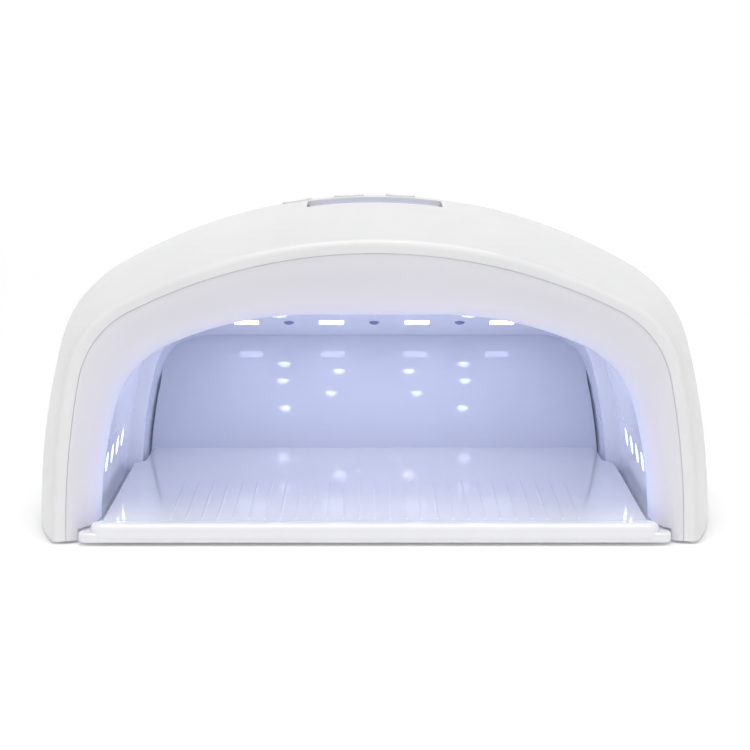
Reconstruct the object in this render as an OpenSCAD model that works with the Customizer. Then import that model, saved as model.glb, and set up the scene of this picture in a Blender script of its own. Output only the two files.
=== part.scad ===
// Nail gel curing lamp: an arched white housing over an open hand tunnel.
// +X is the user's right, +Y points to the back, +Z is up. All sizes in millimetres.
// Depths are written from the front rim backwards, and at(depth) turns one into a Y value.

/* [Housing] */
// Half width of the housing on the table, at its widest place
half_width = 115.7; // [112:0.1:120]
// Half width of the housing at the front rim
front_half_width = 105.9; // [103:0.1:109]
// Height of the dome's highest point
crown_height = 109.6; // [106:0.2:116]
// Height of the front rim's highest point
front_height = 100.3; // [98:0.1:103]
// Length of the housing from the front rim to the back
housing_depth = 197; // [190:1:205]
// Wall thickness of the housing
wall = 2.4; // [2:0.1:3]

/* [Tunnel] */
// Half width of the tunnel at the table
tunnel_half_width = 92.5; // [91.5:0.5:93.5]
// Height of the tunnel's flat ceiling
tunnel_height = 73.5; // [71:0.2:75]
// Depth at which the bezel ends and the reflector starts
mouth_depth = 23.5; // [20:0.5:28]
// Depth at which the ceiling starts to slope down
slope_start = 96; // [88:1:104]
// Depth of the lower end of the sloping ceiling
slope_end = 161; // [155:1:166]
// Height of the lower end of the sloping ceiling
slope_end_height = 47.5; // [44:0.5:52]
// Thickness of the reflector's wall
reflector_wall = 1.8; // [1.4:0.1:2.2]

/* [Tray] */
// Height of the tray's top face
tray_top = 7.5; // [7:0.1:8.5]
// Distance from one rib on the tray to the next
rib_pitch = 5.2; // [4.4:0.2:6.5]

/* [Keys] */
// Length of a key cap across the lamp
key_length = 10.5; // [9:0.1:12]
// Distance from one key to the next
key_pitch = 18.3; // [16:0.1:22]
// How far a key cap stands above the housing
key_rise = 0.7; // [0.5:0.1:1.6]

/* [Hidden] */
$fn = 64;

// The housing stands on feet this high, so every arch starts at this height.
foot_gap = 1;
tray_overhang = 3;
function at(depth) = depth - (housing_depth - tray_overhang) / 2;

// ---- arch sections -------------------------------------------------------------------
// An arch is [flat half width, height, roof radius, base half width, shoulder radius, side radius].
// The roof arc, the shoulder arc and the side arc touch each other without a corner.
roof_steps = 8;
shoulder_steps = 7;
side_steps = 4;
half_steps = roof_steps + shoulder_steps + side_steps;
arch_count = 2 * half_steps + 1;

function roof_centre(a) = [a[0], a[1] - a[2]];
function side_centre(a) = [a[3] - a[5], 0];
function shoulder_centre(a) =
  let (
    c1 = roof_centre(a),
    c3 = side_centre(a),
    r1 = a[2] - a[4],
    r3 = a[5] - a[4],
    gap = c3 - c1,
    far = norm(gap),
    u = gap / far,
    along = (r1 * r1 - r3 * r3 + far * far) / (2 * far),
    across = sqrt(r1 * r1 - along * along)
  )
  c1 + along * u + across * [u[1], -u[0]];

function roof_point(a, roof_angle, t) =
  let (
    arc_length = a[2] * roof_angle * PI / 180,
    s = t * (a[0] + arc_length),
    angle = max(0, s - a[0]) / a[2] * 180 / PI
  )
  s < a[0] ? [s, a[1]] : roof_centre(a) + a[2] * [sin(angle), cos(angle)];

// Half arch from the crown (first point) down to the table (last point).
function half_arch(a) =
  let (
    c2 = shoulder_centre(a),
    v1 = c2 - roof_centre(a),
    v3 = c2 - side_centre(a),
    angle1 = atan2(v1[0], v1[1]),
    angle2 = atan2(v3[0], v3[1])
  )
  concat(
    [for (i = [0:roof_steps - 1]) roof_point(a, angle1, i / roof_steps)],
    [for (i = [0:shoulder_steps - 1])
      let (angle = angle1 + (angle2 - angle1) * i / shoulder_steps)
      c2 + a[4] * [sin(angle), cos(angle)]],
    [for (i = [0:side_steps])
      let (angle = angle2 + (90 - angle2) * i / side_steps)
      side_centre(a) + a[5] * [sin(angle), cos(angle)]]
  );

// Whole arch from the right foot over the crown to the left foot, at one depth.
function arch(a, depth, wide = 1, tall = 1) =
  let (half = half_arch(a))
  concat(
    [for (i = [half_steps:-1:0]) [half[i][0] * wide, at(depth), foot_gap + half[i][1] * tall]],
    [for (i = [1:half_steps]) [-half[i][0] * wide, at(depth), foot_gap + half[i][1] * tall]]
  );

// ---- thick sheets --------------------------------------------------------------------
// Joins an outer and an inner grid of arches into one closed solid.
module thick_sheet(outer, inner, capped = false) {
  rows = len(outer);
  cols = len(outer[0]);
  base = rows * cols;
  points = concat([for (row = outer) each row], [for (row = inner) each row]);
  skin = [for (i = [0:rows - 2]) for (j = [0:cols - 2])
    let (p = i * cols + j, q = p + cols)
    each [[p, p + 1, q + 1], [p, q + 1, q]]];
  lining = [for (i = [0:rows - 2]) for (j = [0:cols - 2])
    let (p = base + i * cols + j, q = p + cols)
    each [[p, q + 1, p + 1], [p, q, q + 1]]];
  front = [for (j = [0:cols - 2])
    each [[j, base + j, base + j + 1], [j, base + j + 1, j + 1]]];
  last = (rows - 1) * cols;
  back = [for (j = [0:cols - 2])
    let (p = last + j, q = base + p)
    each [[p, q + 1, q], [p, p + 1, q + 1]]];
  caps = [for (j = [1:cols - 2])
    each [[last, last + j, last + j + 1], [base + last, base + last + j + 1, base + last + j]]];
  sill = [[last, last + cols - 1, base + last + cols - 1], [last, base + last + cols - 1, base + last]];
  right = [for (i = [0:rows - 2])
    let (p = i * cols, q = p + cols)
    each [[p, q, base + q], [p, base + q, base + p]]];
  left = [for (i = [0:rows - 2])
    let (p = i * cols + cols - 1, q = p + cols)
    each [[p, base + q, q], [p, base + p, base + q]]];
  polyhedron(
    points = points,
    faces = concat(skin, lining, front, capped ? concat(caps, sill) : back, right, left)
  );
}

// ---- housing -------------------------------------------------------------------------
roof_radius = 182;
widest_depth = 54;
highest_depth = 55;
plan_power = 2.72;
profile_power = 2.6;
front_stations = [0, 2.5, 7, 14, 24, 34, 44];
back_steps = 14;
last_angle = 88;

function housing_half_width(depth) =
  half_width - (half_width - front_half_width) * pow((widest_depth - depth) / widest_depth, 2);
function housing_height(depth) =
  depth < highest_depth
    ? crown_height - (crown_height - front_height) * pow((highest_depth - depth) / highest_depth, 2)
    : crown_height * pow(1 - pow((depth - highest_depth) / (housing_depth - highest_depth), profile_power),
        1 / profile_power);
// The rim is thicker than the rest of the wall.
rim_extra = 2.1;
rim_top_extra = 0.1;
rim_depth = 14;
rim_slant = 0.8;
function wall_at(depth) = wall + rim_extra * max(0, 1 - depth / rim_depth);

// Shoulder and side radii change from the rim to the widest place.
function housing_arch(depth, inset) =
  let (
    blend = depth / widest_depth,
    top_extra = inset > 0 ? rim_top_extra * max(0, 1 - depth / rim_depth) : 0
  )
  [0, housing_height(depth) - foot_gap - inset - top_extra, roof_radius - inset,
    housing_half_width(depth) - inset, 34.4 - 2.7 * blend - inset / 2, 288 - 77 * blend - inset];

function back_share(i) = pow(cos(last_angle * i / back_steps), 2 / plan_power);
function back_depth(i, inset) =
  widest_depth + (housing_depth - inset - widest_depth) * pow(sin(last_angle * i / back_steps), 2 / plan_power);
function back_height(depth, inset) =
  (crown_height - inset - foot_gap)
  * pow(1 - pow(max(0, depth - highest_depth) / (housing_depth - inset - highest_depth), profile_power),
      1 / profile_power);

function housing_grid(lining) =
  let (
    widest = housing_arch(widest_depth, lining ? wall : 0),
    full_height = widest[1]
  )
  concat(
    [for (d = front_stations)
      arch(housing_arch(d, lining ? wall_at(d) : 0), d == 0 && lining ? rim_slant : d)],
    [for (i = [0:back_steps])
      let (d = back_depth(i, lining ? wall : 0))
      arch(widest, d, back_share(i), back_height(d, lining ? wall : 0) / full_height)]
  );

// Places on the dome: a point on the top surface and the tilt of the surface there.
function dome_z(x, depth) =
  housing_height(depth) - roof_radius + sqrt(roof_radius * roof_radius - x * x);
function dome_tilt(x) = asin(x / roof_radius);
key_depth = 76;
key_width = 6.2;
key_places = [-1.5 * key_pitch, -0.5 * key_pitch, 0.5 * key_pitch, 1.5 * key_pitch];
key_gap = 0.25;
module on_dome(x) {
  translate([x, at(key_depth), dome_z(x, key_depth)])
    rotate([0, dome_tilt(x), 0])
    children();
}
module stadium(length, width, height) {
  straight = length / 2 - width / 2;
  translate([-straight, -width / 2, 0]) cube([2 * straight, width, height]);
  for (side = [-1, 1]) translate([side * straight, 0, 0]) cylinder(r = width / 2, h = height);
}

window_half = 22.9;
window_front = 43;
window_back = 65.5;
window_gap = 0.3;

socket_height = 16;
socket_radius = 5;

// Screw posts hang on short webs from the housing wall.
post_radius = 3.6;
post_hole = 1.5;
post_top = 18;
side_posts = [34, 112];
function side_post_x(depth) =
  (depth < widest_depth ? housing_half_width(depth) : half_width * plan_share(depth)) - 9;
function plan_share(depth) =
  depth < widest_depth ? 1
  : pow(1 - pow((depth - widest_depth) / (housing_depth - widest_depth), plan_power), 1 / plan_power);
post_places = [
  for (side = [-1, 1]) for (d = side_posts) [side * side_post_x(d), d, side, 0],
  for (side = [-1, 1]) [side * 46, 180, 0, 1]
];
plate_top = 3.8;

module screw_posts() {
  for (p = post_places) translate([p[0], at(p[1]), plate_top + 0.2]) {
    difference() {
      union() {
        cylinder(r = post_radius, h = post_top);
        if (p[3] == 0) {
          translate([p[2] > 0 ? 0 : -7.2, -1.1, 0]) cube([7.2, 2.2, post_top - 3]);
        } else {
          translate([-1.1, 0, 0]) cube([2.2, 11.5, post_top - 3]);
        }
      }
      translate([0, 0, -1]) cylinder(r = post_hole, h = 15);
    }
  }
}

// Short posts under the roof carry the control board.
board_post_places = [for (side = [-1, 1]) for (d = [36, 92]) [side * 35, d]];
board_post_radius = 3;
control_top = 98;
module board_posts() {
  for (p = board_post_places) translate([p[0], at(p[1]), control_top + 0.1]) difference() {
    cylinder(r = board_post_radius, h = 5.7);
    translate([0, 0, -1]) cylinder(r = post_hole, h = 5.2);
  }
}

module outer_shell() {
  color("white") difference() {
    union() {
      thick_sheet(housing_grid(false), housing_grid(true), true);
      screw_posts();
      board_posts();
    }
    for (x = key_places) on_dome(x)
      translate([0, 0, -8]) stadium(key_length + 2 * key_gap, key_width + 2 * key_gap, 12);
    translate([-window_half - window_gap, at(window_front) - window_gap, crown_height - 10])
      cube([2 * (window_half + window_gap), window_back - window_front + 2 * window_gap, 20]);
    translate([0, at(housing_depth) + 5, socket_height])
      rotate([90, 0, 0]) cylinder(r = socket_radius + 0.15, h = 12);
  }
}

// ---- front bezel ---------------------------------------------------------------------
seam_gap = 0.35;
seam_arch = [0, front_height - foot_gap - wall - rim_extra - rim_top_extra - seam_gap, roof_radius - 4.5,
  front_half_width - wall - rim_extra - seam_gap, 32, 284];
tunnel_arch = [22, tunnel_height - foot_gap, 114, tunnel_half_width, 32, 160];
function grown(a, by) = [a[0], a[1] + by, a[2] + by, a[3] + by, a[4] + by, a[5] + by];
bezel_wall = 1.9;
bezel_steps = 9;
bezel_front = 0.9;

function between(first, second, share, depth) =
  [for (j = [0:arch_count - 1])
    [first[j][0] + (second[j][0] - first[j][0]) * share,
      at(depth),
      first[j][2] + (second[j][2] - first[j][2]) * share]];
function bezel_grid(inner_arch, first_depth) =
  [for (k = [0:bezel_steps])
    let (angle = 90 * k / bezel_steps)
    between(arch(seam_arch, 0), arch(inner_arch, 0), sin(angle),
      first_depth + (mouth_depth - first_depth) * (1 - cos(angle)))];

notch_height = 5.4;
notch_half = 98;
module front_bezel() {
  color("lavender") difference() {
    thick_sheet(bezel_grid(grown(tunnel_arch, bezel_wall), bezel_front + bezel_wall), bezel_grid(tunnel_arch, bezel_front));
    translate([-notch_half, at(-5), -5]) cube([2 * notch_half, mouth_depth + 10, notch_height + 5]);
  }
}

// ---- reflector -----------------------------------------------------------------------
back_arch = [66, slope_end_height - foot_gap, 22, 87.3, 16, 150];
// The side walls step in beside the back of the tray.
step_front = 103;
step_back = 111;
reflector_end = slope_end + 3;
reflector_start = mouth_depth + 0.3;
function blend_arch(a, b, t) = [for (k = [0:5]) a[k] + (b[k] - a[k]) * t];
// The reflector's depth t along the slope; it runs a little past the sloping ceiling's end.
function slope_share(depth) = max(0, depth - slope_start) / (slope_end - slope_start);
function step_share(depth) = min(1, max(0, (depth - step_front) / (step_back - step_front)));
function reflector_arch(depth) =
  let (a = blend_arch(tunnel_arch, back_arch, slope_share(depth)))
  [a[0], a[1], a[2], tunnel_arch[3] + (back_arch[3] - tunnel_arch[3]) * step_share(depth), a[4], a[5]];
reflector_stations = [reflector_start, slope_start, step_front, step_back, slope_end - 34, slope_end - 15, reflector_end];
function reflector_grid(by) =
  [for (d = reflector_stations) arch(grown(reflector_arch(d), by), d)];

slope_angle = atan2(tunnel_height - slope_end_height, slope_end - slope_start);
slope_length = norm([tunnel_height - slope_end_height, slope_end - slope_start]);

// Ceiling places are [x, distance up the slope from its lower end].
window_places = [for (x = [-49.4, -16.6, 16.6, 49.4]) [x, 21.5]];
ceiling_screw_places = [for (x = [-33, 0, 33]) [x, 22]];
slope_led_places = [
  for (side = [-1, 1]) each [[side * 36.5, 32.5], [side * 14.3, 40], [side * 37.8, 50.5], [side * 18, 64.5]]
];
ceiling_led_places = [
  for (side = [-1, 1])
    each [[side * 37.8, 76], [side * 14, 110], [side * 37, 110], [side * 14, 124], [side * 37, 124]]
];
side_led_depths = [30, 46, 62, 78];
side_led_height = 22;
hole_radius = 3.4;
window_size = [9.4, 6.4];

// Frame whose Z points up out of the ceiling, at a ceiling place.
module on_ceiling(p) {
  if (p[1] < slope_length)
    translate([0, at(slope_end), slope_end_height])
      rotate([-slope_angle, 0, 0])
      translate([p[0], -p[1], 0])
      children();
  else
    translate([p[0], at(slope_start) - (p[1] - slope_length), tunnel_height])
      children();
}
side_led_x = tunnel_half_width;
module on_side(side, depth) {
  translate([side * side_led_x, at(depth), side_led_height])
    rotate([0, side * 90, 0])
    children();
}

floor_gap = 0.2;
flange_width = 8;
reflector_screw_depths = [56, 92];
reflector_screw_x = tunnel_half_width + 6;
spreader_screw_places = [for (side = [-1, 1]) for (d = [42, 82]) [side * 26, d]];
side_screw_depths = [38, 70];
boss_radius = 2.8;
boss_hole = 1.25;
module board_bosses() {
  for (p = spreader_screw_places)
    translate([p[0], at(p[1]), tunnel_height + 0.9]) cylinder(r = boss_radius, h = board_lift - 0.95);
  for (p = ceiling_screw_places)
    on_ceiling(p) translate([-boss_radius, -boss_radius, 0.6])
      cube([2 * boss_radius, 2 * boss_radius, board_lift - 0.65]);
  for (side = [-1, 1]) for (d = side_screw_depths)
    on_side(side, d) translate([0, 0, -0.5]) cylinder(r = boss_radius, h = side_board_lift + 0.45);
}
module reflector() {
  color("white") difference() {
    union() {
      thick_sheet(reflector_grid(reflector_wall), reflector_grid(0));
      for (side = [-1, 1])
        translate([side > 0 ? tunnel_half_width + 0.6 : -tunnel_half_width - flange_width - 0.6,
            at(reflector_start + 6), plate_top + floor_gap])
          cube([flange_width, slope_start - reflector_start - 6, 1.8]);
      board_bosses();
    }
    for (p = spreader_screw_places)
      translate([p[0], at(p[1]), tunnel_height + 1.1]) cylinder(r = boss_hole, h = 5);
    for (side = [-1, 1]) for (d = side_screw_depths)
      on_side(side, d) translate([0, 0, 1.1]) cylinder(r = boss_hole, h = 5);
    translate([-130, at(0), -5]) cube([260, 200, plate_top + floor_gap + 5]);
    for (p = concat(slope_led_places, ceiling_led_places))
      on_ceiling(p) translate([0, 0, -4]) cylinder(r = hole_radius, h = 9);
    for (p = ceiling_screw_places)
      on_ceiling(p) translate([0, 0, -4]) cylinder(r = 1.7, h = 9);
    for (p = window_places)
      on_ceiling(p) translate([-window_size[0] / 2, -window_size[1] / 2, -4])
        cube([window_size[0], window_size[1], 9]);
    for (side = [-1, 1]) for (d = side_led_depths)
      on_side(side, d) translate([0, 0, -5]) cylinder(r = hole_radius, h = 10);
    for (side = [-1, 1]) for (d = reflector_screw_depths)
      translate([side * reflector_screw_x, at(d), 0]) cylinder(r = 1.7, h = 8);
    // The side walls end just behind the leaning back wall.
    on_back_wall() translate([-130, -30, -63.5]) cube([260, 100, 60]);
  }
}

// The back wall leans back between the reflector's side walls.
back_foot = 139;
back_tilt = atan2(slope_end - 2.1 - back_foot, slope_end_height - tray_top);
back_length = 48.7;
back_wall_thickness = 2;
back_base_half = 86.8;
back_top_half = 66.7;
corner_width = 16;
corner_height = 14.5;
function back_corner(angle) =
  [back_top_half + corner_width * cos(angle), back_length - corner_height + corner_height * sin(angle)];
back_half = concat(
  [[back_base_half, 0], [back_base_half - 2, back_length / 2]],
  [for (angle = [0:15:90]) back_corner(angle)]
);
back_points = concat(back_half, [for (i = [len(back_half) - 1:-1:0]) [-back_half[i][0], back_half[i][1]]]);
back_start = back_foot - (tray_top - plate_top) * tan(back_tilt);
// Frame on the back wall's front face: its Y runs up the wall and its Z points into the tunnel.
module on_back_wall() {
  translate([0, at(back_start), plate_top + floor_gap]) rotate([90 - back_tilt, 0, 0]) children();
}
module back_wall() {
  color("lightsteelblue") difference() {
    union() {
      on_back_wall() translate([0, 0, -back_wall_thickness])
        linear_extrude(height = back_wall_thickness) polygon(back_points);
      translate([-60, at(back_start), plate_top + floor_gap]) cube([120, 14, 1.8]);
    }
    translate([-100, at(back_start) - 20, -10]) cube([200, 60, plate_top + floor_gap + 10]);
    for (side = [-1, 1])
      translate([side * 50, at(back_start) + 9, 0]) cylinder(r = 1.7, h = 8);
  }
}

// ---- LED boards and LEDs -------------------------------------------------------------
board = 1.6;
board_lift = reflector_wall + 1.2;
module ceiling_led_board() {
  color("seagreen") difference() {
    translate([-44, at(slope_start) - 60, tunnel_height + board_lift]) cube([88, 58, board]);
    for (p = spreader_screw_places)
      translate([p[0], at(p[1]), tunnel_height]) cylinder(r = 1.6, h = 10);
  }
}
module slope_led_board() {
  color("seagreen") translate([0, at(slope_end), slope_end_height]) rotate([-slope_angle, 0, 0])
    difference() {
      translate([-60, -67.5, board_lift]) cube([120, 57.5, board]);
      for (p = ceiling_screw_places) translate([p[0], -p[1], 0]) cylinder(r = 1.6, h = 10);
    }
}
side_board_lift = reflector_wall + 1.4;
module side_led_board(side) {
  color("seagreen") difference() {
    translate([side > 0 ? side_led_x + side_board_lift : -side_led_x - side_board_lift - board,
        at(25), side_led_height - 9])
      cube([board, 60, 18]);
    for (d = side_screw_depths) on_side(side, d) cylinder(r = 1.6, h = 10);
  }
}
led_size = 3.5;
led_height = 0.8;
small_dome = 1.4;
large_dome = 2.3;
module led(depth_to_board, dome) {
  color("gold") {
    translate([-led_size / 2, -led_size / 2, depth_to_board - led_height]) cube([led_size, led_size, led_height]);
    intersection() {
      translate([0, 0, depth_to_board - led_height]) sphere(r = dome);
      translate([-dome - 1, -dome - 1, depth_to_board - led_height - dome - 1])
        cube([2 * dome + 2, 2 * dome + 2, dome + 1]);
    }
  }
}
module ceiling_leds() { for (p = ceiling_led_places) on_ceiling(p) led(board_lift, small_dome); }
module slope_leds() { for (p = slope_led_places) on_ceiling(p) led(board_lift, small_dome); }
module window_leds() {
  color("white") for (p = window_places) on_ceiling(p)
    translate([-window_size[0] / 2 + 0.25, -window_size[1] / 2 + 0.25, 0.2])
    cube([window_size[0] - 0.5, window_size[1] - 0.5, board_lift - 0.2]);
}
module side_leds(side) { for (d = side_led_depths) on_side(side, d) led(side_board_lift, large_dome); }

spreader_front = 36;
spreader_length = 50;
spreader_plate = 1.5;
fin = 1.2;
fin_pitch = 10;
fin_height = 6;
module heat_spreader() {
  color("silver") difference() {
    union() {
      translate([-44, at(spreader_front), tunnel_height + board_lift + board])
        cube([88, spreader_length, spreader_plate]);
      for (k = [-4:4])
        translate([fin_pitch * k - fin / 2, at(spreader_front) + 9, tunnel_height + board_lift + board + spreader_plate])
          cube([fin, spreader_length - 18, fin_height]);
    }
    for (p = spreader_screw_places)
      translate([p[0], at(p[1]), tunnel_height]) cylinder(r = 1.6, h = 30);
  }
}

// ---- control board, display and keys -------------------------------------------------
control_front = 32;
control_back = 96;
module control_board() {
  color("darkgreen") difference() {
    translate([-40, at(control_front), control_top - board]) cube([80, control_back - control_front, board]);
    for (p = board_post_places)
      translate([p[0], at(p[1]), control_top - 5]) cylinder(r = 1.6, h = 10);
  }
}
module board_chips() {
  color("black") {
    translate([-8, at(control_back) - 24, control_top - board - 2.2]) cube([14, 10, 2.2]);
    translate([-28, at(control_back) - 24, control_top - board - 1.6]) cube([8, 6, 1.6]);
    translate([20, at(control_front) + 12, control_top - board - 5]) cylinder(r = 4, h = 5);
  }
}
switch_size = 6;
switch_height = 3.4;
well_depth = 2.4;
well_radius = 1.9;
stem_radius = 1.4;
stem_end = control_top + switch_height - 0.9;
// A key's stem leans with the dome, so its switch sits a little nearer the middle.
function switch_x(x) = x - (dome_z(x, key_depth) - stem_end) * tan(dome_tilt(x));
module key_switches() {
  color("dimgray") for (x = key_places)
    translate([switch_x(x), at(key_depth), control_top])
      difference() {
        translate([-switch_size / 2, -switch_size / 2, 0]) cube([switch_size, switch_size, switch_height]);
        translate([0, 0, switch_height - well_depth]) cylinder(r = well_radius, h = well_depth + 1);
      }
}
module_height = 7.6;
module display_module() {
  color("dimgray") translate([-21, at(window_front) + 2, control_top])
    cube([42, window_back - window_front - 4, module_height]);
}
window_recess = 1.1;
window_thickness = 1.6;
module display_window() {
  color("slateblue") intersection() {
    translate([0, at(window_front), crown_height - window_recess - roof_radius])
      rotate([-90, 0, 0])
      difference() {
        cylinder(r = roof_radius, h = window_back - window_front, $fn = 360);
        translate([0, 0, -1])
          cylinder(r = roof_radius - window_thickness, h = window_back - window_front + 2, $fn = 360);
      }
    translate([-window_half, at(window_front), crown_height - 12])
      cube([2 * window_half, window_back - window_front, 20]);
  }
}
flange = 1.1;
flange_drop = 1.3;
module key_cap(x, rise) {
  stem_length = (dome_z(x, key_depth) - stem_end) / cos(dome_tilt(x));
  color("whitesmoke") on_dome(x) {
    translate([0, 0, -wall - flange_drop]) stadium(key_length, key_width, wall + flange_drop + rise);
    translate([0, 0, -wall - flange_drop]) stadium(key_length + 2 * flange, key_width + 2 * flange, 0.9);
    translate([0, 0, -stem_length]) cylinder(r = stem_radius, h = stem_length - wall);
  }
}

// ---- power ---------------------------------------------------------------------------
socket_front = housing_depth - 16;
module dc_socket() {
  color("dimgray") difference() {
    union() {
      translate([-7, at(socket_front), socket_height - 7]) cube([14, 11, 14]);
      translate([0, at(housing_depth) - 0.6, socket_height])
        rotate([90, 0, 0]) cylinder(r = socket_radius, h = 8);
    }
    translate([0, at(housing_depth) + 1, socket_height]) rotate([90, 0, 0]) cylinder(r = 2.85, h = 11.5);
    translate([0, at(housing_depth) - 8, socket_height]) rotate([90, 0, 0]) cylinder(r = root_radius + 0.02, h = 7);
  }
}
// The centre pin stands in the socket's bore on a thinner root.
pin_length = 8.25;
root_radius = 0.8;
module dc_pin() {
  color("silver") translate([0, at(housing_depth) - 2.2, socket_height]) rotate([90, 0, 0]) {
    cylinder(r = 1, h = pin_length);
    cylinder(r = root_radius, h = pin_length + 3);
  }
}

// ---- tray ----------------------------------------------------------------------------
tray_bottom = plate_top + floor_gap;
tray_half = 90;
tray_back = 135.4;
rib_rise = 0.35;
rib_width = 1.2;
rib_front = 6;
rib_length = 66;
rib_half = 72;
tray_points = [
  [tray_half, 4], [tray_half, 103.5], [86.2, 110.5], [85.4, tray_back],
  [-85.4, tray_back], [-86.2, 110.5], [-tray_half, 103.5], [-tray_half, 4]
];
magnet_radius = 3;
magnet_places = [for (side = [-1, 1]) for (d = [14, 122]) [side * 82, d]];
module tray() {
  color("aliceblue") difference() {
    union() {
      translate([0, 0, tray_bottom])
        linear_extrude(height = tray_top - rib_rise - tray_bottom)
        polygon([for (p = tray_points) [p[0], at(p[1])]]);
      for (x = [-rib_pitch * floor(rib_half / rib_pitch):rib_pitch:rib_half])
        translate([x - rib_width / 2, at(rib_front), tray_top - rib_rise]) cube([rib_width, rib_length, rib_rise]);
      translate([-93.5, at(-tray_overhang), foot_gap])
        rotate([90, 0, 90])
        linear_extrude(height = 187) lip_profile();
      translate([-97.4, at(-tray_overhang), foot_gap])
        rotate([90, 0, 90])
        linear_extrude(height = 194.8) flange_profile();
    }
    for (p = magnet_places)
      translate([p[0], at(p[1]), tray_bottom - 1]) cylinder(r = magnet_radius, h = 3);
  }
}
lip_depth = 8;
module lip_profile() {
  top = tray_top - foot_gap;
  square([lip_depth - 1, top - 2.2]);
  translate([2.2, 0]) square([lip_depth - 2.2, top]);
  translate([2.2, top - 2.2]) circle(r = 2.2);
}
module flange_profile() {
  square([lip_depth - 1, 2.4]);
  translate([1, 0]) square([lip_depth - 2, 3.4]);
  translate([1, 2.4]) circle(r = 1);
}
module tray_magnets() {
  color("silver") for (p = magnet_places)
    translate([p[0], at(p[1]), tray_bottom + 0.05]) cylinder(r = magnet_radius - 0.05, h = 1.9);
}
module frame_magnets() {
  color("silver") for (p = magnet_places)
    translate([p[0], at(p[1]), plate_top - 1.95]) cylinder(r = magnet_radius - 0.05, h = 1.9);
}

// ---- base frame ----------------------------------------------------------------------
frame_gap = 0.6;
frame_front = 6.5;
frame_steps = 18;
frame_depths = concat(
  [frame_front, 14, 24, 34, 44],
  [for (i = [0:frame_steps]) widest_depth
    + (housing_depth - wall - frame_gap - widest_depth) * pow(sin(90 * i / frame_steps), 2 / plan_power)]
);
function frame_x(depth, i) =
  i < 5 ? housing_half_width(depth) - wall_at(depth) - frame_gap
  : (half_width - wall - frame_gap) * pow(cos(90 * (i - 5) / frame_steps), 2 / plan_power);
frame_points = concat(
  [for (i = [0:len(frame_depths) - 1]) [frame_x(frame_depths[i], i), at(frame_depths[i])]],
  [for (i = [len(frame_depths) - 2:-1:0]) [-frame_x(frame_depths[i], i), at(frame_depths[i])]]
);
foot_places = [for (side = [-1, 1]) each [[side * 98, 20], [side * 72, 164]]];
foot_radius = 5.5;
module base_frame() {
  color("white") difference() {
    translate([0, 0, foot_gap]) linear_extrude(height = plate_top - foot_gap) polygon(frame_points);
    translate([-76, at(0), 0]) cube([152, 118, 10]);
    for (p = magnet_places) translate([p[0], at(p[1]), plate_top - 2]) cylinder(r = magnet_radius, h = 4);
    for (p = foot_places) translate([p[0], at(p[1]), -1]) cylinder(r = foot_radius + 0.1, h = 2.8);
    for (p = post_places) translate([p[0], at(p[1]), 0]) {
      cylinder(r = 1.7, h = 10);
      cylinder(r = 3.1, h = foot_gap + 1.4);
    }
    for (side = [-1, 1]) for (d = reflector_screw_depths)
      translate([side * reflector_screw_x, at(d), 1.8]) cylinder(r = 1.25, h = 8);
    for (side = [-1, 1])
      translate([side * 50, at(back_start) + 9, 1.8]) cylinder(r = 1.25, h = 8);
  }
}
module rubber_feet() {
  color("dimgray") for (p = foot_places) translate([p[0], at(p[1]), 0]) cylinder(r = foot_radius, h = 1.75);
}

// ---- screws --------------------------------------------------------------------------
module base_screws() {
  color("silver") for (p = post_places) translate([p[0], at(p[1]), foot_gap + 0.2]) {
    difference() {
      cylinder(r = 2.9, h = 1.15);
      translate([0, 0, -0.1]) cylinder(r = 1.1, h = 0.8, $fn = 6);
    }
    cylinder(r = 1.45, h = 12);
  }
}
module reflector_screws() {
  module one() {
    difference() {
      cylinder(r = 2.6, h = 1.5);
      translate([0, 0, 0.8]) cylinder(r = 1, h = 1, $fn = 6);
    }
    translate([0, 0, -3.9]) cylinder(r = 1.2, h = 4);
  }
  color("silver") {
    for (side = [-1, 1]) for (d = reflector_screw_depths)
      translate([side * reflector_screw_x, at(d), plate_top + floor_gap + 1.85]) one();
    for (side = [-1, 1])
      translate([side * 50, at(back_start) + 9, plate_top + floor_gap + 1.85]) one();
  }
}
module ceiling_screws() {
  color("black") for (p = ceiling_screw_places) on_ceiling(p) {
    difference() {
      translate([0, 0, -1.5]) cylinder(r = 2.6, h = 1.45);
      translate([0, 0, -2]) cylinder(r = 1.1, h = 1.2, $fn = 6);
    }
    translate([0, 0, -0.1]) cylinder(r = 1.5, h = board_lift + board + 1);
  }
}
module board_screws() {
  color("silver") {
    for (p = board_post_places) translate([p[0], at(p[1]), control_top - board - 1.5]) {
      cylinder(r = 2.8, h = 1.4);
      cylinder(r = 1.45, h = 6.5);
    }
    for (p = spreader_screw_places) translate([p[0], at(p[1]), tunnel_height + 1.3]) {
      cylinder(r = 1.2, h = board_lift + board + spreader_plate - 0.3);
      translate([0, 0, board_lift + board + spreader_plate - 1.25]) cylinder(r = 2.6, h = 1.4);
    }
    for (side = [-1, 1]) for (d = side_screw_depths) on_side(side, d) {
      translate([0, 0, 1.3]) cylinder(r = 1.2, h = side_board_lift + board - 0.3);
      translate([0, 0, side_board_lift + board + 0.05]) cylinder(r = 2.4, h = 1.3);
    }
  }
}

// ---- leads ---------------------------------------------------------------------------
lead_radius = 1.1;
bend = 5;
module elbow(start) {
  rotate([0, 0, start]) rotate_extrude(angle = 90) translate([bend, 0]) circle(r = lead_radius);
}
// Children stand in the YZ plane: their X becomes Y and their Y becomes Z.
module upright(depth, z) { translate([0, at(depth), z]) rotate([90, 0, 90]) children(); }

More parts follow.
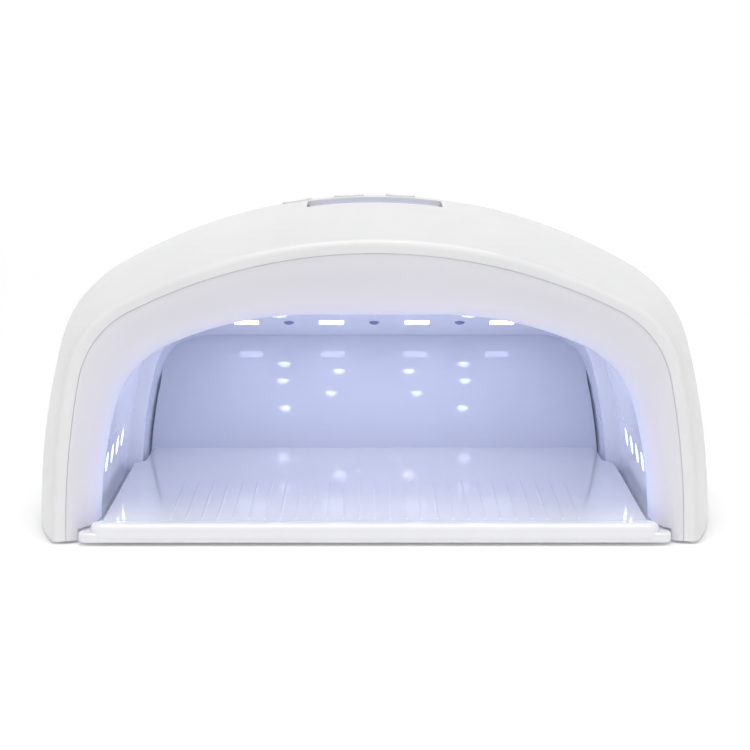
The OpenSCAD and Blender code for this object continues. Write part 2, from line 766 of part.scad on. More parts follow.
riser_depth = 166;
riser_top = 74;
landing_depth = 94.5;
module power_lead() {
  color("black") for (x = [-1.6, 1.6]) translate([x, 0, 0]) {
    translate([0, at(riser_depth + bend), socket_height]) rotate([-90, 0, 0])
      cylinder(r = lead_radius, h = socket_front - riser_depth - bend - 0.2);
    upright(riser_depth + bend, socket_height + bend) elbow(180);
    translate([0, at(riser_depth), socket_height + bend]) cylinder(r = lead_radius, h = riser_top - socket_height - bend);
    upright(riser_depth - bend, riser_top) elbow(0);
    translate([0, at(landing_depth + bend), riser_top + bend]) rotate([-90, 0, 0])
      cylinder(r = lead_radius, h = riser_depth - landing_depth - 2 * bend);
    upright(landing_depth + bend, riser_top + 2 * bend) elbow(180);
    translate([0, at(landing_depth), riser_top + 2 * bend])
      cylinder(r = lead_radius, h = control_top - board - riser_top - 2 * bend - 0.2);
  }
}
side_lead_depth = 60;
side_lead_x = side_led_x + side_board_lift + board / 2;
module led_leads() {
  lead_z = tunnel_height + board_lift + board / 2;
  color("black") for (side = [-1, 1]) {
    translate([side * 30, at(91), tunnel_height + board_lift + board + 0.1])
      cylinder(r = lead_radius, h = control_top - tunnel_height - board_lift - 2 * board - 0.3);
    scale([side, 1, 1]) translate([0, at(side_lead_depth), 0]) {
      translate([44.2, 0, lead_z]) rotate([0, 90, 0]) cylinder(r = lead_radius, h = side_lead_x - bend - 44.2);
      translate([side_lead_x - bend, 0, lead_z - bend]) rotate([90, 0, 0]) elbow(0);
      translate([side_lead_x, 0, side_led_height + 9.2])
        cylinder(r = lead_radius, h = lead_z - bend - side_led_height - 9.2);
    }
  }
}

outer_shell();
front_bezel();
base_frame();
reflector();
back_wall();
ceiling_led_board();
slope_led_board();
side_led_board(-1);  // left_led_board
side_led_board(1);  // right_led_board
ceiling_leds();
slope_leds();
window_leds();
side_leds(-1);  // left_leds
side_leds(1);  // right_leds
heat_spreader();
control_board();
board_chips();
key_switches();
display_module();
display_window();
key_cap(key_places[0], key_rise);  // key_10s
key_cap(key_places[1], key_rise);  // key_30s
key_cap(key_places[2], key_rise);  // key_60s
key_cap(key_places[3], 0);  // power_key
dc_socket();
dc_pin();
power_lead();
led_leads();
tray();
tray_magnets();
frame_magnets();
rubber_feet();
base_screws();
reflector_screws();
ceiling_screws();
board_screws();
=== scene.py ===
"""Looks of the nail gel curing lamp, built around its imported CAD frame. Metres, +Z up."""

import math

import bmesh
import bpy
import numpy as np
from mathutils import Matrix, Vector


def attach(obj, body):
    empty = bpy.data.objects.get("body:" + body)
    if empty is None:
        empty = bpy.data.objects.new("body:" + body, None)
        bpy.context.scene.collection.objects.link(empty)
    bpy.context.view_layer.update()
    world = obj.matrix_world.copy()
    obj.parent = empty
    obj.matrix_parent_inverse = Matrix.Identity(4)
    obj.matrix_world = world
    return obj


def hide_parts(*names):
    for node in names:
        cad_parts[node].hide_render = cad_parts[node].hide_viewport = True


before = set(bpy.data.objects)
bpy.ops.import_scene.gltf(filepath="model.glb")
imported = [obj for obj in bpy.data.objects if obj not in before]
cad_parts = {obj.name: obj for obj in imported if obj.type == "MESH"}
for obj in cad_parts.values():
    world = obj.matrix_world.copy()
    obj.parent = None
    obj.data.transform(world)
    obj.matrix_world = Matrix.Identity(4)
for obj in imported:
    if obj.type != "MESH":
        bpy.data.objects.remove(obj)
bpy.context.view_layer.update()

MM = 0.001

# ---- sizes in millimetres, the same as in the CAD ------------------------------------
HALF_WIDTH = 115.7
FRONT_HALF_WIDTH = 105.9
CROWN_HEIGHT = 109.6
FRONT_HEIGHT = 100.3
HOUSING_DEPTH = 197.0
WALL = 2.4
TUNNEL_HALF_WIDTH = 92.5
TUNNEL_HEIGHT = 73.5
MOUTH_DEPTH = 23.5
SLOPE_START = 96.0
SLOPE_END = 161.0
SLOPE_END_HEIGHT = 47.5
REFLECTOR_WALL = 1.8
TRAY_TOP = 7.5
FOOT_GAP = 1.0
TRAY_OVERHANG = 3.0
ROOF_RADIUS = 182.0
WIDEST_DEPTH = 54.0
HIGHEST_DEPTH = 55.0
PLAN_POWER = 2.72
PROFILE_POWER = 2.6
RIM_EXTRA = 2.1
RIM_TOP_EXTRA = 0.1
RIM_DEPTH = 14.0
KEY_DEPTH = 76.0
KEY_PITCH = 18.3
KEY_LENGTH = 10.5
KEY_WIDTH = 6.2
KEY_RISE = 0.7
KEY_GAP = 0.25
WINDOW_HALF = 22.9
WINDOW_FRONT = 43.0
WINDOW_BACK = 65.5
WINDOW_GAP = 0.3
WINDOW_RECESS = 1.1
SOCKET_HEIGHT = 16.0
SOCKET_RADIUS = 5.0
PLATE_TOP = 3.8
FLOOR_GAP = 0.2


def at(depth):
    """Row Y of a depth behind the front rim, in millimetres."""
    return depth - (HOUSING_DEPTH - TRAY_OVERHANG) / 2


# ---- arch sections -------------------------------------------------------------------
# An arch is [half width of its flat crown, height, roof radius, half width at the foot,
# shoulder radius, side radius]; its three arcs run into each other without a kink.
ROOF_STEPS = 30
SHOULDER_STEPS = 22
SIDE_STEPS = 16


def half_arch(a):
    """Points of a half arch from the crown to the table."""
    flat, height, roof, base, shoulder, side = a
    c1 = np.array([flat, height - roof])
    c3 = np.array([base - side, 0.0])
    r1 = roof - shoulder
    r3 = side - shoulder
    gap = c3 - c1
    far = np.linalg.norm(gap)
    u = gap / far
    along = (r1 * r1 - r3 * r3 + far * far) / (2 * far)
    across = math.sqrt(r1 * r1 - along * along)
    c2 = c1 + along * u + across * np.array([u[1], -u[0]])
    angle1 = math.atan2(*(c2 - c1))
    angle2 = math.atan2(*(c2 - c3))
    points = []
    roof_length = flat + roof * angle1
    for t in np.linspace(0, 1, ROOF_STEPS, endpoint=False):
        s = t * roof_length
        if s < flat:
            points.append((s, height))
            continue
        angle = (s - flat) / roof
        points.append((c1[0] + roof * math.sin(angle), c1[1] + roof * math.cos(angle)))
    for t in np.linspace(0, 1, SHOULDER_STEPS, endpoint=False):
        angle = angle1 + (angle2 - angle1) * t
        points.append((c2[0] + shoulder * math.sin(angle), c2[1] + shoulder * math.cos(angle)))
    for t in np.linspace(0, 1, SIDE_STEPS + 1):
        angle = angle2 + (math.pi / 2 - angle2) * t
        points.append((c3[0] + side * math.sin(angle), c3[1] + side * math.cos(angle)))
    return np.array(points)


def arch(a, depth, wide=1.0, tall=1.0):
    """Row of points over a whole arch at one depth, from the right foot to the left foot."""
    half = half_arch(a) * [wide, tall]
    whole = np.vstack([half[::-1], half[1:] * [-1, 1]])
    return np.column_stack([whole[:, 0], np.full(len(whole), at(depth)), FOOT_GAP + whole[:, 1]])


def grown(a, by):
    """The same arch, moved outwards everywhere."""
    return [a[0]] + [value + by for value in a[1:]]


# The housing's shoulder and side radii change from the front rim to its widest depth.
FRONT_SHOULDER = 34.4
SHOULDER_CHANGE = 2.7
FRONT_SIDE = 288
SIDE_CHANGE = 77


def housing_half_width(depth):
    share = (WIDEST_DEPTH - depth) / WIDEST_DEPTH
    return HALF_WIDTH - (HALF_WIDTH - FRONT_HALF_WIDTH) * share**2


def housing_height(depth):
    if depth < HIGHEST_DEPTH:
        share = (HIGHEST_DEPTH - depth) / HIGHEST_DEPTH
        return CROWN_HEIGHT - (CROWN_HEIGHT - FRONT_HEIGHT) * share**2
    share = (depth - HIGHEST_DEPTH) / (HOUSING_DEPTH - HIGHEST_DEPTH)
    return CROWN_HEIGHT * max(0.0, 1 - share**PROFILE_POWER) ** (1 / PROFILE_POWER)


def wall_at(depth):
    """Wall thickness, which grows towards the rim."""
    return WALL + RIM_EXTRA * max(0.0, 1 - depth / RIM_DEPTH)


def housing_arch(depth, inset):
    """Arch of the housing in front of its widest depth."""
    blend = depth / WIDEST_DEPTH
    top = RIM_TOP_EXTRA * max(0.0, 1 - depth / RIM_DEPTH) * min(1.0, inset / WALL)
    return [
        0.0,
        housing_height(depth) - FOOT_GAP - inset - top,
        ROOF_RADIUS - inset,
        housing_half_width(depth) - inset,
        FRONT_SHOULDER - SHOULDER_CHANGE * blend - inset / 2,
        FRONT_SIDE - SIDE_CHANGE * blend - inset,
    ]


def back_row(angle, inset):
    """Row of the housing behind its widest depth, at a superellipse angle in radians."""
    reach = HOUSING_DEPTH - inset - WIDEST_DEPTH
    depth = WIDEST_DEPTH + reach * math.sin(angle) ** (2 / PLAN_POWER)
    wide = math.cos(angle) ** (2 / PLAN_POWER)
    widest = housing_arch(WIDEST_DEPTH, inset)
    share = max(0.0, depth - HIGHEST_DEPTH) / (HOUSING_DEPTH - inset - HIGHEST_DEPTH)
    tall = (1 - share**PROFILE_POWER) ** (1 / PROFILE_POWER)
    return arch(widest, depth, wide, tall)


def dome_z(x, depth):
    return housing_height(depth) - ROOF_RADIUS + math.sqrt(ROOF_RADIUS**2 - x * x)


def dome_matrix(x, depth):
    """Frame on top of the dome, its Z square to the surface."""
    tilt = math.asin(x / ROOF_RADIUS)
    place = Vector((x, at(depth), dome_z(x, depth))) * MM
    return Matrix.Translation(place) @ Matrix.Rotation(tilt, 4, "Y")


# ---- outlines ------------------------------------------------------------------------
def stadium(length, width, steps=14):
    radius = width / 2
    straight = length / 2 - radius
    points = []
    for side, start in ((1, -90), (-1, 90)):
        for k in range(steps + 1):
            angle = math.radians(start + 180 * k / steps)
            points.append((side * straight + radius * math.cos(angle), radius * math.sin(angle)))
    return points


def rounded_box(x0, x1, y0, y1, radius, steps=6):
    points = []
    corners = (
        (x1 - radius, y0 + radius, -90),
        (x1 - radius, y1 - radius, 0),
        (x0 + radius, y1 - radius, 90),
        (x0 + radius, y0 + radius, 180),
    )
    for cx, cy, start in corners:
        for k in range(steps + 1):
            angle = math.radians(start + 90 * k / steps)
            points.append((cx + radius * math.cos(angle), cy + radius * math.sin(angle)))
    return points


def circle(radius, count=32):
    angles = [2 * math.pi * k / count for k in range(count)]
    return [(radius * math.cos(angle), radius * math.sin(angle)) for angle in angles]


# ---- mesh helpers --------------------------------------------------------------------
def add_object(name, vertices, faces, smooth_angle=35.0):
    """New mesh object from millimetre vertices."""
    mesh = bpy.data.meshes.new(name)
    mesh.from_pydata((np.asarray(vertices, float) * MM).tolist(), [], faces)
    mesh.validate()
    obj = bpy.data.objects.new(name, mesh)
    bpy.context.scene.collection.objects.link(obj)
    shade(obj, smooth_angle)
    return obj


def shade(obj, angle=35.0):
    """Smooth shading, sharp where faces meet at more than the angle in degrees."""
    mesh = obj.data
    mesh.polygons.foreach_set("use_smooth", [True] * len(mesh.polygons))
    mesh.set_sharp_from_angle(angle=math.radians(angle))


def fix_normals(obj):
    bm = bmesh.new()
    bm.from_mesh(obj.data)
    bmesh.ops.recalc_face_normals(bm, faces=bm.faces)
    bm.to_mesh(obj.data)
    bm.free()


def apply_modifiers(obj):
    depsgraph = bpy.context.evaluated_depsgraph_get()
    mesh = bpy.data.meshes.new_from_object(obj.evaluated_get(depsgraph))
    old = obj.data
    obj.modifiers.clear()
    obj.data = mesh
    bpy.data.meshes.remove(old)


def flatten_normals(obj):
    """Keeps large flat faces flat where rounded edges run into them."""
    shade(obj)
    mod = obj.modifiers.new("normals", "WEIGHTED_NORMAL")
    mod.keep_sharp = True
    apply_modifiers(obj)


def round_edges(obj, width, steps=3, angle=40.0):
    mod = obj.modifiers.new("rounding", "BEVEL")
    mod.width = width * MM
    mod.segments = steps
    mod.limit_method = "ANGLE"
    mod.angle_limit = math.radians(angle)
    apply_modifiers(obj)


def strip_faces(rows, cols, wrap_rows):
    """Faces between neighbouring rows of points."""
    faces = []
    last = rows if wrap_rows else rows - 1
    for i in range(last):
        k = (i + 1) % rows
        for j in range(cols - 1):
            faces.append((i * cols + j, i * cols + j + 1, k * cols + j + 1, k * cols + j))
    return faces


def loft(name, rows, wrap=False, cap_rows=False, smooth_angle=35.0):
    """Closed solid from rows of points; the row ends are closed by flat faces."""
    count = len(rows)
    cols = len(rows[0])
    faces = strip_faces(count, cols, wrap)
    right = [i * cols for i in range(count)]
    left = [i * cols + cols - 1 for i in range(count)]
    if wrap:
        faces.append(tuple(right))
        faces.append(tuple(left[::-1]))
    else:
        faces.append(tuple(right + left[::-1]))
    if cap_rows:
        faces.append(tuple(range(cols)))
        faces.append(tuple(range((count - 1) * cols, count * cols))[::-1])
    obj = add_object(name, np.vstack(rows), faces, smooth_angle)
    fix_normals(obj)
    shade(obj, smooth_angle)
    return obj


def tube_of_rings(name, rings):
    """Closed solid from closed rings of points, one behind the other."""
    count = len(rings)
    cols = len(rings[0])
    faces = []
    for i in range(count - 1):
        for j in range(cols):
            k = (j + 1) % cols
            faces.append((i * cols + j, i * cols + k, (i + 1) * cols + k, (i + 1) * cols + j))
    faces.append(tuple(range(cols)))
    faces.append(tuple(range((count - 1) * cols, count * cols))[::-1])
    obj = add_object(name, np.vstack(rings), faces)
    fix_normals(obj)
    return obj


def outline_solid(name, outline, bottom, top, matrix=None, bevel=0.0, steps=3):
    """Solid between two heights over a flat outline, with rounded edges."""
    count = len(outline)
    vertices = [(x, y, bottom) for x, y in outline] + [(x, y, top) for x, y in outline]
    faces = [tuple(range(count))[::-1], tuple(range(count, 2 * count))]
    faces += [(i, (i + 1) % count, count + (i + 1) % count, count + i) for i in range(count)]
    obj = add_object(name, vertices, faces)
    fix_normals(obj)
    if bevel:
        round_edges(obj, bevel, steps)
    if matrix is not None:
        obj.data.transform(matrix)
    if bevel:
        flatten_normals(obj)
    else:
        shade(obj)
    return obj


def cutter(outline, bottom, top, matrix=None):
    return outline_solid("cut", outline, bottom, top, matrix)


def turned(name, profile, matrix, count=32):
    """Solid of revolution from [radius, height] points that start and end on the axis."""
    rings = profile[1:-1]
    vertices = [(0, 0, profile[0][1])]
    for radius, height in rings:
        vertices += [(x, y, height) for x, y in circle(radius, count)]
    vertices.append((0, 0, profile[-1][1]))
    last = len(vertices) - 1
    faces = [(0, 1 + k, 1 + (k + 1) % count) for k in range(count)]
    for i in range(len(rings) - 1):
        a = 1 + i * count
        b = a + count
        faces += [(a + k, b + k, b + (k + 1) % count, a + (k + 1) % count) for k in range(count)]
    a = 1 + (len(rings) - 1) * count
    faces += [(last, a + (k + 1) % count, a + k) for k in range(count)]
    obj = add_object(name, vertices, faces)
    fix_normals(obj)
    obj.data.transform(matrix)
    shade(obj)
    return obj


def join(name, objects):
    """One object from several meshes; materials stay with their faces."""
    bm = bmesh.new()
    materials = []
    for obj in objects:
        start = len(bm.faces)
        mesh = obj.data
        mesh.transform(obj.matrix_world)
        bm.from_mesh(mesh)
        bm.faces.ensure_lookup_table()
        slots = list(mesh.materials)
        for material in slots:
            if material not in materials:
                materials.append(material)
        for face in bm.faces[start:]:
            if slots:
                slot = min(face.material_index, len(slots) - 1)
                face.material_index = materials.index(slots[slot])
    mesh = bpy.data.meshes.new(name)
    bm.to_mesh(mesh)
    bm.free()
    for material in materials:
        mesh.materials.append(material)
    for obj in objects:
        old = obj.data
        bpy.data.objects.remove(obj)
        bpy.data.meshes.remove(old)
    obj = bpy.data.objects.new(name, mesh)
    bpy.context.scene.collection.objects.link(obj)
    return obj


def cut(obj, cutters, smooth_angle):
    """Takes the cutters' space out of obj and removes the cutters."""
    tool = join("cutters", cutters)
    mod = obj.modifiers.new("holes", "BOOLEAN")
    mod.operation = "DIFFERENCE"
    mod.solver = "EXACT"
    mod.use_self = True
    mod.object = tool
    bpy.context.view_layer.update()
    apply_modifiers(obj)
    bpy.data.objects.remove(tool)
    shade(obj, smooth_angle)


# ---- materials -----------------------------------------------------------------------
class Nodes:
    """Short way to build a node material."""

    def __init__(self, name):
        self.material = bpy.data.materials.new(name)
        self.material.use_nodes = True
        self.tree = self.material.node_tree
        self.surface = self.tree.nodes["Principled BSDF"]
        self.coords = self.add("ShaderNodeTexCoord").outputs["Object"]

    def add(self, kind):
        return self.tree.nodes.new(kind)

    def link(self, source, target):
        self.tree.links.new(source, target)

    def feed(self, source, name):
        """Links an output to a named input of the surface."""
        self.link(source, self.surface.inputs[name])

    def set(self, **values):
        """Sets inputs of the surface; underscores stand for spaces in their names."""
        for key, value in values.items():
            self.surface.inputs[key.replace("_", " ")].default_value = value

    def noise(self, scale, detail=3.0, roughness=0.55, stretch=None):
        node = self.add("ShaderNodeTexNoise")
        node.inputs["Scale"].default_value = scale
        node.inputs["Detail"].default_value = detail
        node.inputs["Roughness"].default_value = roughness
        source = self.coords
        if stretch:
            mapping = self.add("ShaderNodeMapping")
            mapping.inputs["Scale"].default_value = stretch
            self.link(self.coords, mapping.inputs["Vector"])
            source = mapping.outputs["Vector"]
        self.link(source, node.inputs["Vector"])
        return node.outputs["Fac"]

    def ramp(self, source, stops):
        node = self.add("ShaderNodeValToRGB")
        ramp = node.color_ramp
        while len(ramp.elements) < len(stops):
            ramp.elements.new(0.5)
        for element, (place, colour) in zip(ramp.elements, stops):
            element.position = place
            element.color = (*colour, 1.0)
        self.link(source, node.inputs["Fac"])
        return node.outputs["Color"]

    def span(self, source, low, high, out_low, out_high):
        """Value between two outputs, as the source goes from low to high."""
        node = self.add("ShaderNodeMapRange")
        node.inputs["From Min"].default_value = low
        node.inputs["From Max"].default_value = high
        node.inputs["To Min"].default_value = out_low
        node.inputs["To Max"].default_value = out_high
        self.link(source, node.inputs["Value"])
        return node.outputs["Result"]

    def mix(self, factor, first, second):
        node = self.add("ShaderNodeMix")
        node.data_type = "RGBA"
        for value, key in ((factor, 0), (first, 6), (second, 7)):
            if isinstance(value, bpy.types.NodeSocket):
                self.link(value, node.inputs[key])
            else:
                node.inputs[key].default_value = value if key == 0 else (*value, 1.0)
        return node.outputs[2]

    def maths(self, operation, first, second):
        node = self.add("ShaderNodeMath")
        node.operation = operation
        for value, key in ((first, 0), (second, 1)):
            if isinstance(value, bpy.types.NodeSocket):
                self.link(value, node.inputs[key])
            else:
                node.inputs[key].default_value = value
        return node.outputs[0]

    def axis(self, index):
        """Object coordinate X, Y or Z, in metres."""
        node = self.add("ShaderNodeSeparateXYZ")
        self.link(self.coords, node.inputs[0])
        return node.outputs[index]

    def facing(self, blend):
        """0 where the surface faces the eye, 1 where it turns away."""
        node = self.add("ShaderNodeLayerWeight")
        node.inputs["Blend"].default_value = blend
        return node.outputs["Facing"]

    def bump(self, source, strength, distance):
        node = self.add("ShaderNodeBump")
        node.inputs["Strength"].default_value = strength
        node.inputs["Distance"].default_value = distance
        self.link(source, node.inputs["Height"])
        self.feed(node.outputs["Normal"], "Normal")

    def edges(self, low=0.56, high=0.64):
        """How much a point sits on a convex edge, 0 to 1."""
        node = self.add("ShaderNodeNewGeometry")
        return self.span(node.outputs["Pointiness"], low, high, 0.0, 1.0)


# Colour of painted tunnel light, a faint emission on parts that are no lamps.
PAINTED_TUNNEL_LIGHT_COLOUR = (0.45, 0.53, 0.88, 1.0)


def plastic(name, colour, roughness, grain=2600.0, grain_depth=0.000012, variation=0.03, edge=None,
            coat=0.0, glow=0.0, turned_away_shade=0.0):
    """Moulded plastic with fine grain, slow colour variation, uneven gloss, lighter convex edges,
    painted shade where the surface turns away from the eye and a faint emission of painted tunnel
    light.
    """
    n = Nodes(name)
    slow = n.noise(28.0, 4.0)
    dark = tuple(c * (1 - variation) for c in colour)
    light = tuple(min(1.0, c * (1 + variation * 0.5)) for c in colour)
    base = n.ramp(slow, ((0.3, dark), (0.7, light)))
    lighter_edge = edge or tuple(min(1.0, c * 1.08 + 0.01) for c in colour)
    base = n.mix(n.maths("MULTIPLY", n.edges(), 0.6), base, lighter_edge)
    # Painted shade: the colour darkens where the surface turns away from the eye.
    if turned_away_shade:
        painted_shade = n.maths("MULTIPLY", n.facing(0.4), turned_away_shade)
        base = n.mix(painted_shade, base, tuple(c * 0.5 for c in colour))
    n.feed(base, "Base Color")
    smudge = n.noise(90.0, 6.0, 0.7)
    n.feed(n.span(smudge, 0.3, 0.75, roughness * 0.85, roughness * 1.2), "Roughness")
    n.bump(n.noise(grain, 2.0), 0.5, grain_depth)
    n.set(IOR=1.46, Coat_Weight=coat, Coat_Roughness=min(0.12, roughness))
    # Painted light: a faint emission stands in for the lamps' light falling in the tunnel.
    n.set(Emission_Color=PAINTED_TUNNEL_LIGHT_COLOUR, Emission_Strength=glow)
    return n


def metal(name, colour, roughness, stretch=(1, 1, 1), scale=900.0, depth=0.00001):
    """Metal with brushing or plating streaks and brighter edges."""
    n = Nodes(name)
    streak = n.noise(scale, 4.0, 0.6, stretch)
    dark = tuple(c * 0.8 for c in colour)
    lighter_edge = tuple(min(1.0, c * 1.3 + 0.05) for c in colour)
    base = n.ramp(streak, ((0.3, dark), (0.7, colour)))
    base = n.mix(n.maths("MULTIPLY", n.edges(), 0.7), base, lighter_edge)
    n.feed(base, "Base Color")
    n.feed(n.span(streak, 0.3, 0.7, roughness * 0.7, roughness * 1.4), "Roughness")
    n.set(Metallic=1.0)
    n.bump(streak, 0.4, depth)
    return n


def lamp_light(name, colour, strength, edge_colour, edge_strength, mirrored):
    """Lit lens: hot in the middle, tinted where it turns away, and stronger in mirrored views."""
    n = Nodes(name)
    facing = n.facing(0.35)
    grain = n.noise(1800.0, 2.0)
    n.feed(n.mix(facing, colour, edge_colour), "Emission Color")
    power = n.span(facing, 0.0, 1.0, strength, edge_strength)
    path = n.add("ShaderNodeLightPath")
    in_mirror = n.span(path.outputs["Is Glossy Ray"], 0.0, 1.0, 1.0, mirrored)
    power = n.maths("MULTIPLY", power, in_mirror)
    power = n.maths("MULTIPLY", power, n.span(grain, 0.2, 0.8, 0.9, 1.1))
    n.feed(power, "Emission Strength")
    n.set(Base_Color=(0.8, 0.82, 0.9, 1.0), Roughness=0.12)
    return n


def circuit_board(name):
    """Green solder mask with copper tracks, pads and mask gloss."""
    n = Nodes(name)
    cells = n.add("ShaderNodeTexVoronoi")
    cells.feature = "DISTANCE_TO_EDGE"
    cells.inputs["Scale"].default_value = 260.0
    n.link(n.coords, cells.inputs["Vector"])
    track = n.span(cells.outputs["Distance"], 0.05, 0.09, 1.0, 0.0)
    base = n.mix(track, (0.01, 0.11, 0.06), (0.03, 0.22, 0.12))
    pads = n.add("ShaderNodeTexVoronoi")
    pads.inputs["Scale"].default_value = 330.0
    n.link(n.coords, pads.inputs["Vector"])
    pad = n.span(pads.outputs["Distance"], 0.14, 0.17, 1.0, 0.0)
    n.feed(n.mix(pad, base, (0.6, 0.55, 0.4)), "Base Color")
    n.feed(n.maths("MULTIPLY", pad, 0.8), "Metallic")
    n.feed(n.span(n.noise(300.0), 0.3, 0.7, 0.29, 0.45), "Roughness")
    n.bump(track, 0.5, 0.00003)
    return n


def milky_bezel(name):
    """Milky plastic with painted light from inside the tunnel: lavender at the rim, blue at the inner
    lip.
    """
    n = Nodes(name)
    depth = n.span(n.axis(1), at(1.0) * MM, at(MOUTH_DEPTH) * MM, 0.0, 1.0)
    cloud = n.noise(14.0, 1.0, 0.4)
    shift = n.maths("ADD", depth, n.span(cloud, 0.2, 0.8, -0.03, 0.03))
    colours = (
        (0.0, (0.62, 0.57, 0.72)),
        (0.35, (0.62, 0.56, 0.84)),
        (0.75, (0.5, 0.58, 0.95)),
        (1.0, (0.42, 0.6, 1.0)),
    )
    n.feed(n.ramp(shift, colours), "Emission Color")
    strengths = ((0.0, 0.03), (0.3, 0.1), (0.8, 0.17), (1.0, 0.22))
    power = n.ramp(shift, [(place, (value, value, value)) for place, value in strengths])
    # Painted light: the emission is made stronger towards the bottom, where less light from above
    # falls.
    low_down = n.span(n.axis(2), 0.02, 0.075, 2.3, 1.0)
    n.feed(n.maths("MULTIPLY", power, low_down), "Emission Strength")
    base = n.ramp(cloud, ((0.2, (0.70, 0.69, 0.73)), (0.8, (0.72, 0.71, 0.75))))
    base = n.mix(n.maths("MULTIPLY", n.edges(), 0.4), base, (0.86, 0.86, 0.9))
    n.feed(base, "Base Color")
    n.feed(n.span(n.noise(120.0, 5.0), 0.3, 0.7, 0.29, 0.35), "Roughness")
    n.set(Coat_Weight=0.3)
    n.bump(n.noise(1400.0, 2.0), 0.4, 0.000008)
    return n


def tinted_window(name):
    """Tinted display window: glossy, greyer towards its ends, faintly streaked, with a faint emission
    of painted light.
    """
    n = Nodes(name)
    across = n.maths("ABSOLUTE", n.axis(0), 0.0)
    end = n.span(across, 18.5 * MM, 21.0 * MM, 0.0, 1.0)
    n.feed(n.mix(end, (0.36, 0.37, 0.62), (0.3, 0.3, 0.36)), "Base Color")
    # Painted light: a faint bluish emission, greyer at the ends.
    n.feed(n.mix(end, (0.5, 0.5, 0.9), (0.4, 0.4, 0.45)), "Emission Color")
    n.feed(n.span(n.noise(50.0), 0.3, 0.7, 0.21, 0.24), "Emission Strength")
    n.feed(n.span(n.noise(200.0, 5.0), 0.3, 0.7, 0.04, 0.1), "Roughness")
    n.set(IOR=1.5, Coat_Weight=1.0)
    n.bump(n.noise(900.0, 2.0), 0.3, 0.000004)
    return n


# The shell's colour carries painted shade where it turns away from the eye.
shell_white = plastic("shell_satin_white", (0.82, 0.82, 0.823), 0.335, grain=3200.0, coat=0.2,
                      turned_away_shade=0.22)
frame_white = plastic("frame_matte_white", (0.74, 0.75, 0.76), 0.55, grain=1500.0,
                      grain_depth=0.00003)
key_white = plastic("key_satin_white", (0.9, 0.9, 0.905), 0.335, grain=3800.0)
# Painted light: the white reflector and back panel are tinted blue and glow faintly, standing in for
# the lamps' light.
reflector_white = plastic("reflector_gloss_white", (0.77, 0.785, 0.86), 0.1, grain=60.0,
                          grain_depth=0.00002, coat=0.4, glow=0.12)
panel_white = plastic("back_panel_gloss", (0.68, 0.7, 0.8), 0.04, grain=40.0,
                      grain_depth=0.00002, coat=0.5, glow=0.095)
tray_white = plastic("tray_gloss_white", (0.85, 0.85, 0.875), 0.07, grain=40.0,
                     grain_depth=0.00002, coat=0.4)
chip_black = plastic("chip_black", (0.03, 0.03, 0.034), 0.5, grain=4000.0, edge=(0.1, 0.1, 0.11))
socket_black = plastic("socket_black", (0.035, 0.035, 0.04), 0.42, grain=2000.0,
                       edge=(0.12, 0.12, 0.13))
lead_black = plastic("lead_insulation", (0.03, 0.03, 0.033), 0.6, grain=1500.0,
                     edge=(0.06, 0.06, 0.06))
foot_rubber = plastic("foot_rubber", (0.16, 0.16, 0.17), 0.8, grain=1800.0, grain_depth=0.00005)
aluminium = metal("spreader_aluminium", (0.72, 0.73, 0.75), 0.41, stretch=(1, 30, 1))
steel = metal("screw_zinc", (0.62, 0.62, 0.64), 0.41)
# The screw heads carry painted tunnel light as a faint emission.
dark_cap = plastic("screw_dark_glossy", (0.16, 0.17, 0.4), 0.2, grain=1500.0,
                   edge=(0.3, 0.3, 0.55), glow=0.12)
nickel = metal("nickel_plate", (0.7, 0.68, 0.64), 0.15)
board_green = circuit_board("circuit_board")
bezel_milky = milky_bezel("bezel_milky")
window_tinted = tinted_window("window_tinted")
led_lens = lamp_light("led_lens", (0.9, 0.93, 1.0), 7.0, (0.3, 0.4, 1.0), 4.0, 3.5)
ceiling_lens = lamp_light("ceiling_lens", (0.9, 0.93, 1.0), 0.9, (0.45, 0.52, 1.0), 0.6, 11.0)
window_lens = lamp_light("window_lens", (0.9, 0.94, 1.0), 6.0, (0.45, 0.6, 1.0), 5.0, 0.75)


def dress(obj, nodes):
    obj.data.materials.clear()
    obj.data.materials.append(nodes.material)


def place_for(obj, node, body="housing"):
    """Puts a new piece on its body and hides the CAD node that it stands for."""
    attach(obj, body)
    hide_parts(node)


def stand_for(obj, nodes, node, body="housing"):
    """Gives a new piece its material too."""
    dress(obj, nodes)
    place_for(obj, node, body)


# ---- housing -------------------------------------------------------------------------
FRONT_DEPTHS = (3.2, 4.5, 6.5, 9.0, 12.0, 16.0, 20.0, 25.0, 30.0, 36.0, 42.0, 48.0)
BACK_ROWS = 46
LAST_ANGLE = 88.0
ROW_CROWDING = 0.9
RIDGE_RADIUS = 1.7
RIDGE_STEPS = 8
SEAM_RADIUS = 0.1
SEAM_STEPS = 6
RIM_SLANT = 0.8
RIM_WIDTH = WALL + RIM_EXTRA
KEY_PLACES = [(k - 1.5) * KEY_PITCH for k in range(4)]
KEY_HOLE_DROP = 9.0
KEY_HOLE_TOP = 4.0
POCKET_CORNER = 1.2
POCKET_REACH = 10
SOCKET_GAP = 0.15
SOCKET_HOLE_REACH = 12.0
SOCKET_HOLE_START = 5


